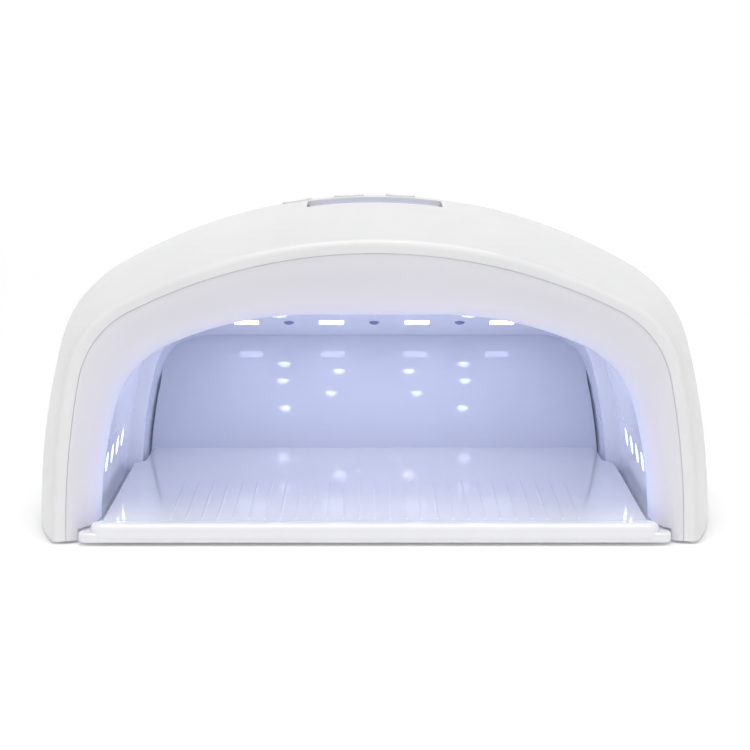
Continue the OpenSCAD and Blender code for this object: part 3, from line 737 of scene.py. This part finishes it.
def rim_rows():
    """Rows from the lining's front edge round the rim band to the outer surface."""
    rows = []
    for k in range(SEAM_STEPS + 1):
        angle = math.radians(90 * k / SEAM_STEPS)
        inset = RIM_WIDTH - SEAM_RADIUS * (1 - math.cos(angle))
        depth = RIM_SLANT + SEAM_RADIUS * (1 - math.sin(angle))
        rows.append((depth, inset))
    for share in (0.25, 0.5, 0.75):
        inset = RIM_WIDTH - SEAM_RADIUS + (RIDGE_RADIUS - RIM_WIDTH + SEAM_RADIUS) * share
        rows.append((RIM_SLANT * (1 - share), inset))
    for k in range(RIDGE_STEPS + 1):
        angle = math.radians(90 * k / RIDGE_STEPS)
        rows.append((RIDGE_RADIUS * (1 - math.cos(angle)), RIDGE_RADIUS * (1 - math.sin(angle))))
    return [arch(housing_arch(depth, inset), depth) for depth, inset in rows]


def housing_holes():
    """Cutters for the keys, the display window and the power socket."""
    cutters = []
    for x in KEY_PLACES:
        hole = stadium(KEY_LENGTH + 2 * KEY_GAP, KEY_WIDTH + 2 * KEY_GAP)
        cutters.append(cutter(hole, -KEY_HOLE_DROP, KEY_HOLE_TOP, dome_matrix(x, KEY_DEPTH)))
    side = WINDOW_HALF + WINDOW_GAP
    front = at(WINDOW_FRONT) - WINDOW_GAP
    back = at(WINDOW_BACK) + WINDOW_GAP
    pocket = rounded_box(-side, side, front, back, POCKET_CORNER)
    cutters.append(cutter(pocket, CROWN_HEIGHT - POCKET_REACH, CROWN_HEIGHT + POCKET_REACH))
    place = Vector((0, at(HOUSING_DEPTH) + SOCKET_HOLE_START, SOCKET_HEIGHT)) * MM
    matrix = Matrix.Translation(place) @ Matrix.Rotation(math.radians(90), 4, "X")
    hole = circle(SOCKET_RADIUS + SOCKET_GAP, 48)
    cutters.append(cutter(hole, 0.0, SOCKET_HOLE_REACH, matrix))
    return cutters


def housing():
    shares = [(k / BACK_ROWS) ** ROW_CROWDING for k in range(BACK_ROWS + 1)]
    angles = [math.radians(LAST_ANGLE * share) for share in shares]
    lining = [back_row(angle, WALL) for angle in angles[::-1]]
    lining += [arch(housing_arch(d, wall_at(d)), d) for d in FRONT_DEPTHS[::-1]]
    outer = [arch(housing_arch(d, 0.0), d) for d in FRONT_DEPTHS]
    outer += [back_row(angle, 0.0) for angle in angles]
    rows = lining + rim_rows() + outer
    shell = loft("housing_shell", rows, cap_rows=True, smooth_angle=40.0)
    cut(shell, housing_holes(), 40.0)
    stand_for(shell, shell_white, "outer_shell")


housing()

# ---- bezel ---------------------------------------------------------------------------
BEZEL_WALL = 1.9
BEZEL_FRONT = 0.9
EDGE_RADIUS = 0.08
EDGE_SHARE = 0.005
EDGE_STEPS = 4
FLARE_STEPS = 40
FLARE_START = 3
BACK_STEPS = 24
LIP_STEPS = 8
SEAM_DEPTH = 0.3
VISIBLE_GAP = 0.16
FLANGE_GAP = 0.005
NOTCH_BOTTOM = -5.0
NOTCH_HEIGHT = 4.7
NOTCH_HALF = 98.0
NOTCH_CORNER = 0.8
NOTCH_BACK = 40.0
NOTCH_REACH = 60.0
SEAM_ARCH = grown(housing_arch(BEZEL_FRONT, RIM_WIDTH), -VISIBLE_GAP)
TUNNEL_ARCH = [22.0, TUNNEL_HEIGHT - FOOT_GAP, 114.0, TUNNEL_HALF_WIDTH, 32.0, 160.0]


def bezel_row(growth, share, depth):
    """Row of the bezel, a share of the way from the seam to the tunnel."""
    seam = arch(SEAM_ARCH, 0.0)
    target = arch(grown(TUNNEL_ARCH, growth), 0.0)
    points = seam + (target - seam) * share
    points[:, 1] = at(depth)
    return points


def flare_row(angle, growth, front, lip):
    """Row of the flare, which turns from facing forwards to running inwards."""
    depth = front + (MOUTH_DEPTH - lip - front) * (1 - math.cos(angle))
    return bezel_row(growth, math.sin(angle), depth)


def bezel():
    """Ring of edge, visible flare, rounded inner lip, hidden back, flange and seam."""
    lip = BEZEL_WALL / 2
    rows = []
    for k in range(EDGE_STEPS + 1):
        turn = math.sin(math.radians(90 * k / EDGE_STEPS))
        rows.append(bezel_row(0.0, EDGE_SHARE * turn, BEZEL_FRONT + EDGE_RADIUS * (1 - turn)))
    for k in range(FLARE_START, FLARE_STEPS + 1):
        rows.append(flare_row(math.radians(90 * k / FLARE_STEPS), 0.0, BEZEL_FRONT, lip))
    for k in range(1, LIP_STEPS):
        angle = math.radians(180 * k / LIP_STEPS)
        depth = MOUTH_DEPTH - lip + lip * math.sin(angle)
        rows.append(bezel_row(lip * (1 - math.cos(angle)), 1.0, depth))
    for k in range(BACK_STEPS, -1, -1):
        angle = math.radians(90 * k / BACK_STEPS)
        rows.append(flare_row(angle, BEZEL_WALL, BEZEL_FRONT + BEZEL_WALL, lip))
    flange = arch(grown(SEAM_ARCH, VISIBLE_GAP - FLANGE_GAP), 0.0)
    for depth in (BEZEL_FRONT + BEZEL_WALL, BEZEL_FRONT + SEAM_DEPTH):
        rows.append(flange + [0, depth, 0])
    rows.append(bezel_row(0.0, 0.0, BEZEL_FRONT + SEAM_DEPTH))
    ring = loft("bezel_ring", rows, wrap=True, smooth_angle=50.0)
    notch = rounded_box(-NOTCH_HALF, NOTCH_HALF, NOTCH_BOTTOM, NOTCH_HEIGHT, NOTCH_CORNER)
    matrix = Matrix.Translation(Vector((0, at(NOTCH_BACK), 0)) * MM)
    matrix = matrix @ Matrix.Rotation(math.radians(90), 4, "X")
    cut(ring, [cutter(notch, 0.0, NOTCH_REACH, matrix)], 50.0)
    stand_for(ring, bezel_milky, "front_bezel")


bezel()

# ---- reflector -----------------------------------------------------------------------
BACK_ARCH = [66.0, SLOPE_END_HEIGHT - FOOT_GAP, 22.0, 87.3, 16.0, 150.0]
STEP_FRONT = 103.0
STEP_BACK = 111.0
BEND = 7.0
REFLECTOR_START = MOUTH_DEPTH + 0.3
REFLECTOR_END = SLOPE_END + 3.0
SLOPE_FALL = TUNNEL_HEIGHT - SLOPE_END_HEIGHT
SLOPE_ANGLE = math.atan2(SLOPE_FALL, SLOPE_END - SLOPE_START)
SLOPE_LENGTH = math.hypot(SLOPE_FALL, SLOPE_END - SLOPE_START)
WINDOW_SIZE = (9.4, 6.4)
WINDOW_CORNER = 0.8
HOLE_RADIUS = 3.4
SCREW_HOLE_RADIUS = 1.7
HOLE_LOW = -4.0
HOLE_HIGH = 5.0
SIDE_HOLE_LOW = -5.0
CLEAR_HALF = 130
BEHIND_NEAR = -3.5
BEHIND_FAR = -63.5
SIDE_DEPTHS = (30.0, 46.0, 62.0, 78.0)
SIDE_HEIGHT = 22.0

# Places on the ceiling: X, and the distance up the slope from its rear end.
WINDOW_PLACES = [(x, 21.5) for x in (-49.4, -16.6, 16.6, 49.4)]
SCREW_PLACES = [(x, 22.0) for x in (-33.0, 0.0, 33.0)]


def both_sides(places):
    return [(side * x, up) for side in (-1, 1) for x, up in places]


SLOPE_LAMPS = both_sides(((36.5, 32.5), (14.3, 40), (37.8, 50.5), (18, 64.5)))
LEVEL_LAMPS = both_sides(((37.8, 76), (14, 110), (37, 110), (14, 124), (37, 124)))

# The back wall leans back; its frame has Y up the wall and Z into the tunnel.
BACK_FOOT = 139.0
BACK_TOP = SLOPE_END - 2.1
BACK_TILT = math.atan2(BACK_TOP - BACK_FOOT, SLOPE_END_HEIGHT - TRAY_TOP)
BACK_START = BACK_FOOT - (TRAY_TOP - PLATE_TOP) * math.tan(BACK_TILT)
BACK_FRAME = Matrix.Translation(Vector((0, at(BACK_START), PLATE_TOP + FLOOR_GAP)) * MM)
BACK_FRAME = BACK_FRAME @ Matrix.Rotation(math.radians(90) - BACK_TILT, 4, "X")


def smooth_step(value):
    t = min(1.0, max(0.0, value))
    return t * t * (3 - 2 * t)


def slope_share(depth):
    """Share of the slope, rounded where the level ceiling bends down."""
    over = depth - SLOPE_START
    if over <= -BEND:
        value = 0.0
    elif over < BEND:
        value = (over + BEND) ** 2 / (4 * BEND)
    else:
        value = over
    return value / (SLOPE_END - SLOPE_START)


def reflector_arch(depth, growth):
    """The tunnel's arch, lower along the slope and narrower behind the step in its sides."""
    t = slope_share(depth)
    a = [p + (q - p) * t for p, q in zip(TUNNEL_ARCH, BACK_ARCH)]
    step = smooth_step((depth - STEP_FRONT) / (STEP_BACK - STEP_FRONT))
    a[3] = TUNNEL_ARCH[3] + (BACK_ARCH[3] - TUNNEL_ARCH[3]) * step
    return grown(a, growth)


def ceiling_matrix(place):
    """Frame at a ceiling place, its Z pointing up out of the tunnel."""
    x, up = place
    if up < SLOPE_LENGTH:
        corner = Matrix.Translation(Vector((0, at(SLOPE_END), SLOPE_END_HEIGHT)) * MM)
        tilt = Matrix.Rotation(-SLOPE_ANGLE, 4, "X")
        return corner @ tilt @ Matrix.Translation(Vector((x, -up, 0)) * MM)
    depth = SLOPE_START - (up - SLOPE_LENGTH)
    return Matrix.Translation(Vector((x, at(depth), TUNNEL_HEIGHT)) * MM)


def side_matrix(side, depth):
    """Frame at a side wall place, its Z pointing out of the tunnel."""
    place = Vector((side * TUNNEL_HALF_WIDTH, at(depth), SIDE_HEIGHT)) * MM
    return Matrix.Translation(place) @ Matrix.Rotation(side * math.pi / 2, 4, "Y")


def reflector_holes():
    """Cutters for the floor, the space behind the back wall, and every lamp and screw."""
    floor = rounded_box(-CLEAR_HALF, CLEAR_HALF, at(0), at(200), 1.0)
    cutters = [cutter(floor, -6.0, PLATE_TOP + FLOOR_GAP)]
    behind = rounded_box(-CLEAR_HALF, CLEAR_HALF, -30, 70, 1.0)
    cutters.append(cutter(behind, BEHIND_FAR, BEHIND_NEAR, BACK_FRAME))
    for place in SLOPE_LAMPS + LEVEL_LAMPS:
        cutters.append(cutter(circle(HOLE_RADIUS), HOLE_LOW, HOLE_HIGH, ceiling_matrix(place)))
    for place in SCREW_PLACES:
        hole = circle(SCREW_HOLE_RADIUS)
        cutters.append(cutter(hole, HOLE_LOW, HOLE_HIGH, ceiling_matrix(place)))
    wide = WINDOW_SIZE[0] / 2
    long = WINDOW_SIZE[1] / 2
    for place in WINDOW_PLACES:
        hole = rounded_box(-wide, wide, -long, long, WINDOW_CORNER)
        cutters.append(cutter(hole, HOLE_LOW, HOLE_HIGH, ceiling_matrix(place)))
    for side in (-1, 1):
        for depth in SIDE_DEPTHS:
            hole = circle(HOLE_RADIUS)
            cutters.append(cutter(hole, SIDE_HOLE_LOW, HOLE_HIGH, side_matrix(side, depth)))
    return cutters


def reflector():
    """Liner whose rows lie closer together where it bends and where its sides step in."""
    depths = [REFLECTOR_START, 30, 40, 55, 70, 84, 88]
    depths += [SLOPE_START - BEND + 2 * BEND * k / 8 for k in range(9)]
    depths += [104.5, 106, 107.5, 109, 110, 111.5, 115, 122, 130, 140, 150, 158, REFLECTOR_END]
    depths = sorted(set(depths))
    inner = [arch(reflector_arch(d, 0.0), d) for d in depths]
    outer = [arch(reflector_arch(d, REFLECTOR_WALL), d) for d in depths]
    liner = loft("tunnel_liner", inner[::-1] + outer, wrap=True, smooth_angle=30.0)
    cut(liner, reflector_holes(), 30.0)
    stand_for(liner, reflector_white, "reflector")


reflector()

# ---- back wall -----------------------------------------------------------------------
BACK_LENGTH = 48.7
BACK_THICKNESS = 2.0
BACK_ROUNDING = 0.3
BACK_CORNER_WIDTH = 16.5
BACK_CORNER_HEIGHT = 15.1
BACK_CORNER_X = 66.9
BACK_CORNER_Y = BACK_LENGTH - 14.3


def back_wall():
    """Leaning panel: sides that close in a little, then elliptic upper corners."""
    sides = ((86.8, 0.0), (86.1, 0.25), (84.8, 0.5), (83.9, 0.6))
    half = [(x, share * BACK_LENGTH) for x, share in sides]
    for k in range(17):
        angle = math.radians(90 * k / 16)
        x = BACK_CORNER_X + BACK_CORNER_WIDTH * math.cos(angle)
        half.append((x, BACK_CORNER_Y + BACK_CORNER_HEIGHT * math.sin(angle)))
    outline = half + [(-x, y) for x, y in half[::-1]]
    panel = outline_solid("back_panel", outline, -BACK_THICKNESS, 0.0, BACK_FRAME, BACK_ROUNDING)
    stand_for(panel, panel_white, "back_wall")


back_wall()

# ---- tray ----------------------------------------------------------------------------
TRAY_HALF = 90.0
TRAY_BACK_HALF = 86.2
TRAY_FRONT = 4.0
TRAY_BACK = 135.4
TRAY_EDGE_RADIUS = 0.8
NARROWING_START = 103.5
NARROWING_END = 110.5
TAPER = 0.8
RIB_PITCH = 5.2
RIB_COUNT = 13
RIB_RISE = 0.13
RIB_FRONT = 6.0
RIB_BACK = 72.0
RIB_EDGE = 0.6
RIB_FRONT_FADE = 1.5
RIB_BACK_FADE = 14.0
LIP_HALF = 93.5
LIP_FRONT = -TRAY_OVERHANG
LIP_BACK = LIP_FRONT + 8.0
LIP_END_RADIUS = 3.9
LIP_ROUNDING = 2.2
LEDGE_HALF = 97.4
LEDGE_FRONT = LIP_FRONT + 0.25
LEDGE_BACK = LIP_BACK - 1
LEDGE_BOTTOM = FOOT_GAP + 0.1
LEDGE_TOP = 4.4
LEDGE_END_RADIUS = 3.2
LEDGE_ROUNDING = 0.9


def rib_height(x, depth):
    """Height of the ribs over the plate, rounded across and faded at both ends."""
    nearest = max(-RIB_COUNT, min(RIB_COUNT, round(x / RIB_PITCH)))
    across = abs(x - nearest * RIB_PITCH) / RIB_EDGE
    if across >= 1:
        return 0.0
    top = 0.5 + 0.5 * math.cos(math.pi * across)
    fade_front = min(1.0, max(0.0, (depth - RIB_FRONT) / RIB_FRONT_FADE))
    fade_back = min(1.0, max(0.0, (RIB_BACK - depth) / RIB_BACK_FADE))
    return RIB_RISE * top * math.sqrt(fade_front) * fade_back


def tray_half(depth):
    """Half width of the plate, which narrows past the step in the tunnel's sides."""
    step = smooth_step((depth - NARROWING_START) / (NARROWING_END - NARROWING_START))
    taper = TAPER * max(0.0, (depth - NARROWING_END) / 25.0)
    return TRAY_HALF + (TRAY_BACK_HALF - TRAY_HALF) * step - taper


def tray_ring(depth, xs):
    """Closed ring round the plate at one depth: ribbed top, rounded side edges, flat underside."""
    top = TRAY_TOP - RIB_RISE
    half = tray_half(depth)
    angles = [math.radians(90 * k / 5) for k in range(6)]
    turns = [(1 - math.cos(angle), 1 - math.sin(angle)) for angle in angles]
    corner = [(TRAY_EDGE_RADIUS * inwards, TRAY_EDGE_RADIUS * down) for inwards, down in turns]
    points = [(-half + inwards, top - down) for inwards, down in corner]
    points += [(x, top + rib_height(x, depth)) for x in xs]
    points += [(half - inwards, top - down) for inwards, down in corner[::-1]]
    points += [(half, PLATE_TOP + FLOOR_GAP), (-half, PLATE_TOP + FLOOR_GAP)]
    return np.array([(x, at(depth), z) for x, z in points])


def tray_plate():
    """Plate with ribs, its points close together across each rib."""
    offsets = (-1.0, -0.8, -0.6, -0.4, -0.2, 0.0, 0.2, 0.4, 0.6, 0.8, 1.0)
    ribs = [k * RIB_PITCH for k in range(-RIB_COUNT, RIB_COUNT + 1)]
    xs = np.array(sorted(rib + RIB_EDGE * offset for rib in ribs for offset in offsets))
    depths = [TRAY_FRONT, 5.0]
    depths += [RIB_FRONT + step for step in (0.0, 0.1, 0.4, 0.8, 1.5)]
    depths += [20.0, 40.0, 58.0, 65.0, RIB_BACK, 85.0, 98.0]
    depths += [NARROWING_START + step for step in range(8)]
    depths += [118.0, 128.0, TRAY_BACK]
    plate = tube_of_rings("tray_plate", [tray_ring(depth, xs) for depth in depths])
    flatten_normals(plate)
    return plate


def lip_bar(name, outline, low, high, rounding):
    """Bar across the tray's front with rounded edges."""
    bar = outline_solid(name, outline, low, high)
    round_edges(bar, rounding, 6, 60.0)
    flatten_normals(bar)
    return bar


def tray():
    """Plate behind a thick rounded lip, which stands on a longer and thinner ledge."""
    outline = rounded_box(-LIP_HALF, LIP_HALF, at(LIP_FRONT), at(LIP_BACK), LIP_END_RADIUS, 10)
    lip = lip_bar("lip", outline, FOOT_GAP, TRAY_TOP, LIP_ROUNDING)
    front = at(LEDGE_FRONT)
    back = at(LEDGE_BACK)
    outline = rounded_box(-LEDGE_HALF, LEDGE_HALF, front, back, LEDGE_END_RADIUS, 10)
    ledge = lip_bar("ledge", outline, LEDGE_BOTTOM, LEDGE_TOP, LEDGE_ROUNDING)
    whole = join("ribbed_tray", [tray_plate(), lip, ledge])
    stand_for(whole, tray_white, "tray", "tray")


tray()

# ---- lamps and screws in the tunnel ---------------------------------------------------
BOARD_LIFT = REFLECTOR_WALL + 1.2
SIDE_BOARD_LIFT = REFLECTOR_WALL + 1.4
BOARD = 1.6
LAMP_HALF = 1.75
LAMP_CORNER = 0.3
LAMP_HEIGHT = 0.8
CEILING_LENS_RADIUS = 2.7
SIDE_LENS_RADIUS = 2.3
LENS_TIP = -0.9
SCREW_END = BOARD_LIFT + BOARD + 0.9


def dome_profile(radius, base, tip, steps=10):
    """Upside-down lens on a short cylinder: it hangs from base down to tip."""
    cap = min(radius, base - tip)
    points = [(0, base), (radius, base)]
    for k in range(steps):
        angle = math.radians(90 * k / steps)
        points.append((radius * math.cos(angle), tip + cap - cap * math.sin(angle)))
    points.append((0, tip))
    return points


def lamp(matrix, lift, radius, lens_material):
    """White base on the board and a glowing lens that hangs into the tunnel."""
    outline = rounded_box(-LAMP_HALF, LAMP_HALF, -LAMP_HALF, LAMP_HALF, LAMP_CORNER, 3)
    base = outline_solid("lamp_base", outline, lift - LAMP_HEIGHT, lift, matrix)
    dress(base, frame_white)
    lens = turned("lamp_lens", dome_profile(radius, lift - LAMP_HEIGHT, LENS_TIP), matrix)
    dress(lens, lens_material)
    return [base, lens]


def ceiling_lamps(name, node, places):
    parts = []
    for place in places:
        parts += lamp(ceiling_matrix(place), BOARD_LIFT, CEILING_LENS_RADIUS, ceiling_lens)
    place_for(join(name, parts), node)


def side_lamps(name, node, side):
    parts = []
    for depth in SIDE_DEPTHS:
        parts += lamp(side_matrix(side, depth), SIDE_BOARD_LIFT, SIDE_LENS_RADIUS, led_lens)
    place_for(join(name, parts), node)


ceiling_lamps("slope_lamps", "slope_leds", SLOPE_LAMPS)
ceiling_lamps("ceiling_lamps", "ceiling_leds", LEVEL_LAMPS)
side_lamps("left_lamps", "left_leds", -1)
side_lamps("right_lamps", "right_leds", 1)


def ceiling_screws():
    """Low domed screws between the lit windows."""
    head = [(0, -0.9), (0.7, -0.85), (1.2, -0.7), (1.6, -0.45), (1.9, -0.2), (2.0, -0.05)]
    shank = [(1.5, -0.05), (1.5, SCREW_END), (0, SCREW_END)]
    parts = [turned("screw", head + shank, ceiling_matrix(place)) for place in SCREW_PLACES]
    stand_for(join("domed_ceiling_screws", parts), dark_cap, "ceiling_screws")


ceiling_screws()

# ---- display window and keys ---------------------------------------------------------
WINDOW_THICKNESS = 1.6
WINDOW_ROUNDING = 0.35
KEY_ROUNDING = 0.4
KEY_FLANGE = 1.1
KEY_FLANGE_DROP = 1.3
KEY_FLANGE_THICKNESS = 0.9
KEY_STEM_RADIUS = 1.4
KEY_STEM_FOOT = 100.5


def display_window():
    """Curved slab that follows the dome just below its surface."""
    centre = CROWN_HEIGHT - WINDOW_RECESS - ROOF_RADIUS
    inner = ROOF_RADIUS - WINDOW_THICKNESS
    xs = np.linspace(-WINDOW_HALF, WINDOW_HALF, 49)
    rings = []
    for depth in np.linspace(WINDOW_FRONT, WINDOW_BACK, 9):
        upper = [(x, at(depth), centre + math.sqrt(ROOF_RADIUS**2 - x * x)) for x in xs]
        lower = [(x, at(depth), centre + math.sqrt(inner**2 - x * x)) for x in xs[::-1]]
        rings.append(np.array(upper + lower))
    cover = tube_of_rings("display_cover", rings)
    round_edges(cover, WINDOW_ROUNDING, 3, 50.0)
    shade(cover)
    stand_for(cover, window_tinted, "display_window")


display_window()


def key(node, piece, x, rise):
    """Key cap with a rounded top edge, its flange and its stem."""
    matrix = dome_matrix(x, KEY_DEPTH)
    low = -WALL - KEY_FLANGE_DROP
    face = stadium(KEY_LENGTH, KEY_WIDTH, 20)
    cap = outline_solid("cap", face, low, rise, matrix, bevel=KEY_ROUNDING, steps=5)
    wider = stadium(KEY_LENGTH + 2 * KEY_FLANGE, KEY_WIDTH + 2 * KEY_FLANGE)
    skirt = outline_solid("skirt", wider, low, low + KEY_FLANGE_THICKNESS, matrix)
    tilt = math.asin(x / ROOF_RADIUS)
    length = (dome_z(x, KEY_DEPTH) - KEY_STEM_FOOT) / math.cos(tilt)
    stem = outline_solid("stem", circle(KEY_STEM_RADIUS, 24), -length, low, matrix)
    whole = join(piece, [cap, skirt, stem])
    shade(whole)
    stand_for(whole, key_white, node, node)


key("key_10s", "timer_key_short", KEY_PLACES[0], KEY_RISE)
key("key_30s", "timer_key_middle", KEY_PLACES[1], KEY_RISE)
key("key_60s", "timer_key_long", KEY_PLACES[2], KEY_RISE)
key("power_key", "power_button", KEY_PLACES[3], 0.0)

# ---- CAD nodes that keep their shape --------------------------------------------------
CARRIED = {
    "base_frame": frame_white,
    "ceiling_led_board": board_green,
    "slope_led_board": board_green,
    "left_led_board": board_green,
    "right_led_board": board_green,
    "window_leds": window_lens,
    "heat_spreader": aluminium,
    "control_board": board_green,
    "board_chips": chip_black,
    "key_switches": chip_black,
    "display_module": chip_black,
    "dc_socket": socket_black,
    "dc_pin": nickel,
    "power_lead": lead_black,
    "led_leads": lead_black,
    "tray_magnets": nickel,
    "frame_magnets": nickel,
    "rubber_feet": foot_rubber,
    "base_screws": steel,
    "reflector_screws": steel,
    "board_screws": steel,
}


def dress_carried_nodes():
    for node, nodes in CARRIED.items():
        dress(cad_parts[node], nodes)


dress_carried_nodes()

# ---- floor, light and camera ---------------------------------------------------------
FLOOR_HALF_WIDTH = 5.0
FLOOR_FRONT = -3.0
CURVE_START = 1.0
CURVE_RADIUS = 1.2
BACKDROP_TOP = 4.0


def studio():
    """Pale floor that curves up into a backdrop, sizes in metres."""
    rows = [(y, 0.0) for y in (FLOOR_FRONT, -1.0, 0.0, CURVE_START)]
    for k in range(1, 17):
        angle = math.radians(90 * k / 16)
        y = CURVE_START + CURVE_RADIUS * math.sin(angle)
        rows.append((y, CURVE_RADIUS * (1 - math.cos(angle))))
    rows.append((CURVE_START + CURVE_RADIUS, BACKDROP_TOP))
    ends = (-FLOOR_HALF_WIDTH, FLOOR_HALF_WIDTH)
    vertices = [(x, y, z) for y, z in rows for x in ends]
    faces = [(2 * i, 2 * i + 1, 2 * i + 3, 2 * i + 2) for i in range(len(rows) - 1)]
    sheet = add_object("floor", np.array(vertices) / MM, faces, 80.0)
    n = Nodes("floor_pale")
    n.feed(n.ramp(n.noise(2.0), ((0.3, (0.92, 0.92, 0.92)), (0.7, (0.94, 0.94, 0.94)))), "Base Color")
    n.feed(n.span(n.noise(300.0), 0.3, 0.7, 0.55, 0.65), "Roughness")
    # Painted light: the floor and backdrop glow, faintly near the lamp and more towards the back.
    n.set(Emission_Color=(1.0, 1.0, 1.0, 1.0))
    n.feed(n.span(n.axis(1), 0.1, 2.0, 0.1, 0.42), "Emission Strength")
    dress(sheet, n)


def area_light(name, place, target, size, power):
    data = bpy.data.lights.new(name, "AREA")
    data.energy = power
    data.size = size
    obj = bpy.data.objects.new(name, data)
    bpy.context.scene.collection.objects.link(obj)
    obj.location = place
    obj.rotation_euler = (Vector(target) - Vector(place)).to_track_quat("-Z", "Y").to_euler()
    obj.visible_camera = False
    return obj


def tunnel_light(name, depth, height, aim_depth, aim_height, size, power, colour):
    """Soft tinted light inside the tunnel that no surface mirrors; size is width and length."""
    place = (0.0, at(depth) * MM, height)
    target = (0, at(aim_depth) * MM, aim_height)
    obj = area_light(name, place, target, size[0], power)
    obj.data.color = colour
    obj.data.shape = "RECTANGLE"
    obj.data.size_y = size[1]
    obj.visible_glossy = False


def lights():
    middle = (0, 0, 0.05)
    area_light("top_softbox", (0.0, -0.55, 1.4), middle, 0.9, 10.0)
    area_light("front_softbox", (0.0, -1.7, 0.55), middle, 1.1, 0.9)
    area_light("left_softbox", (-1.3, -0.9, 0.9), middle, 1.0, 3.3)
    area_light("right_softbox", (1.3, -0.7, 0.8), middle, 1.0, 2.9)
    tunnel_light("tunnel_glow", 66, 0.068, 66, 0, (0.165, 0.07), 0.0205, (0.475, 0.475, 0.55))
    tunnel_light("slope_glow", 118, 0.058, 110, 0, (0.12, 0.03), 0.0118, (0.475, 0.475, 0.57))
    tunnel_light("tray_glow", 80, 0.012, 80, 1, (0.165, 0.09), 0.0148, (0.515, 0.52, 0.59))


def surroundings():
    """White all round: bright to the eye, softer as a light."""
    world = bpy.data.worlds.new("studio")
    bpy.context.scene.world = world
    world.use_nodes = True
    sky = world.node_tree.nodes["Background"]
    sky.inputs["Color"].default_value = (1.0, 1.0, 1.0, 1.0)
    path = world.node_tree.nodes.new("ShaderNodeLightPath")
    strength = world.node_tree.nodes.new("ShaderNodeMapRange")
    strength.inputs["To Min"].default_value = 0.43
    strength.inputs["To Max"].default_value = 1.0
    world.node_tree.links.new(path.outputs["Is Camera Ray"], strength.inputs["Value"])
    world.node_tree.links.new(strength.outputs["Result"], sky.inputs["Strength"])
    bpy.context.scene.view_settings.view_transform = "Standard"


CAMERA_PLACE = (-0.00126, -0.822, 0.16656)
CAMERA_PITCH = 8.639
CAMERA_YAW = 0.104
CAMERA_LENS = 108.32
CAMERA_SENSOR = 36.0


def camera():
    data = bpy.data.cameras.new("camera")
    data.lens = CAMERA_LENS
    data.sensor_width = CAMERA_SENSOR
    data.clip_start = 0.01
    obj = bpy.data.objects.new("camera", data)
    bpy.context.scene.collection.objects.link(obj)
    obj.location = CAMERA_PLACE
    obj.rotation_euler = (math.radians(90 - CAMERA_PITCH), 0, math.radians(-CAMERA_YAW))
    bpy.context.scene.camera = obj


studio()
lights()
surroundings()
camera()
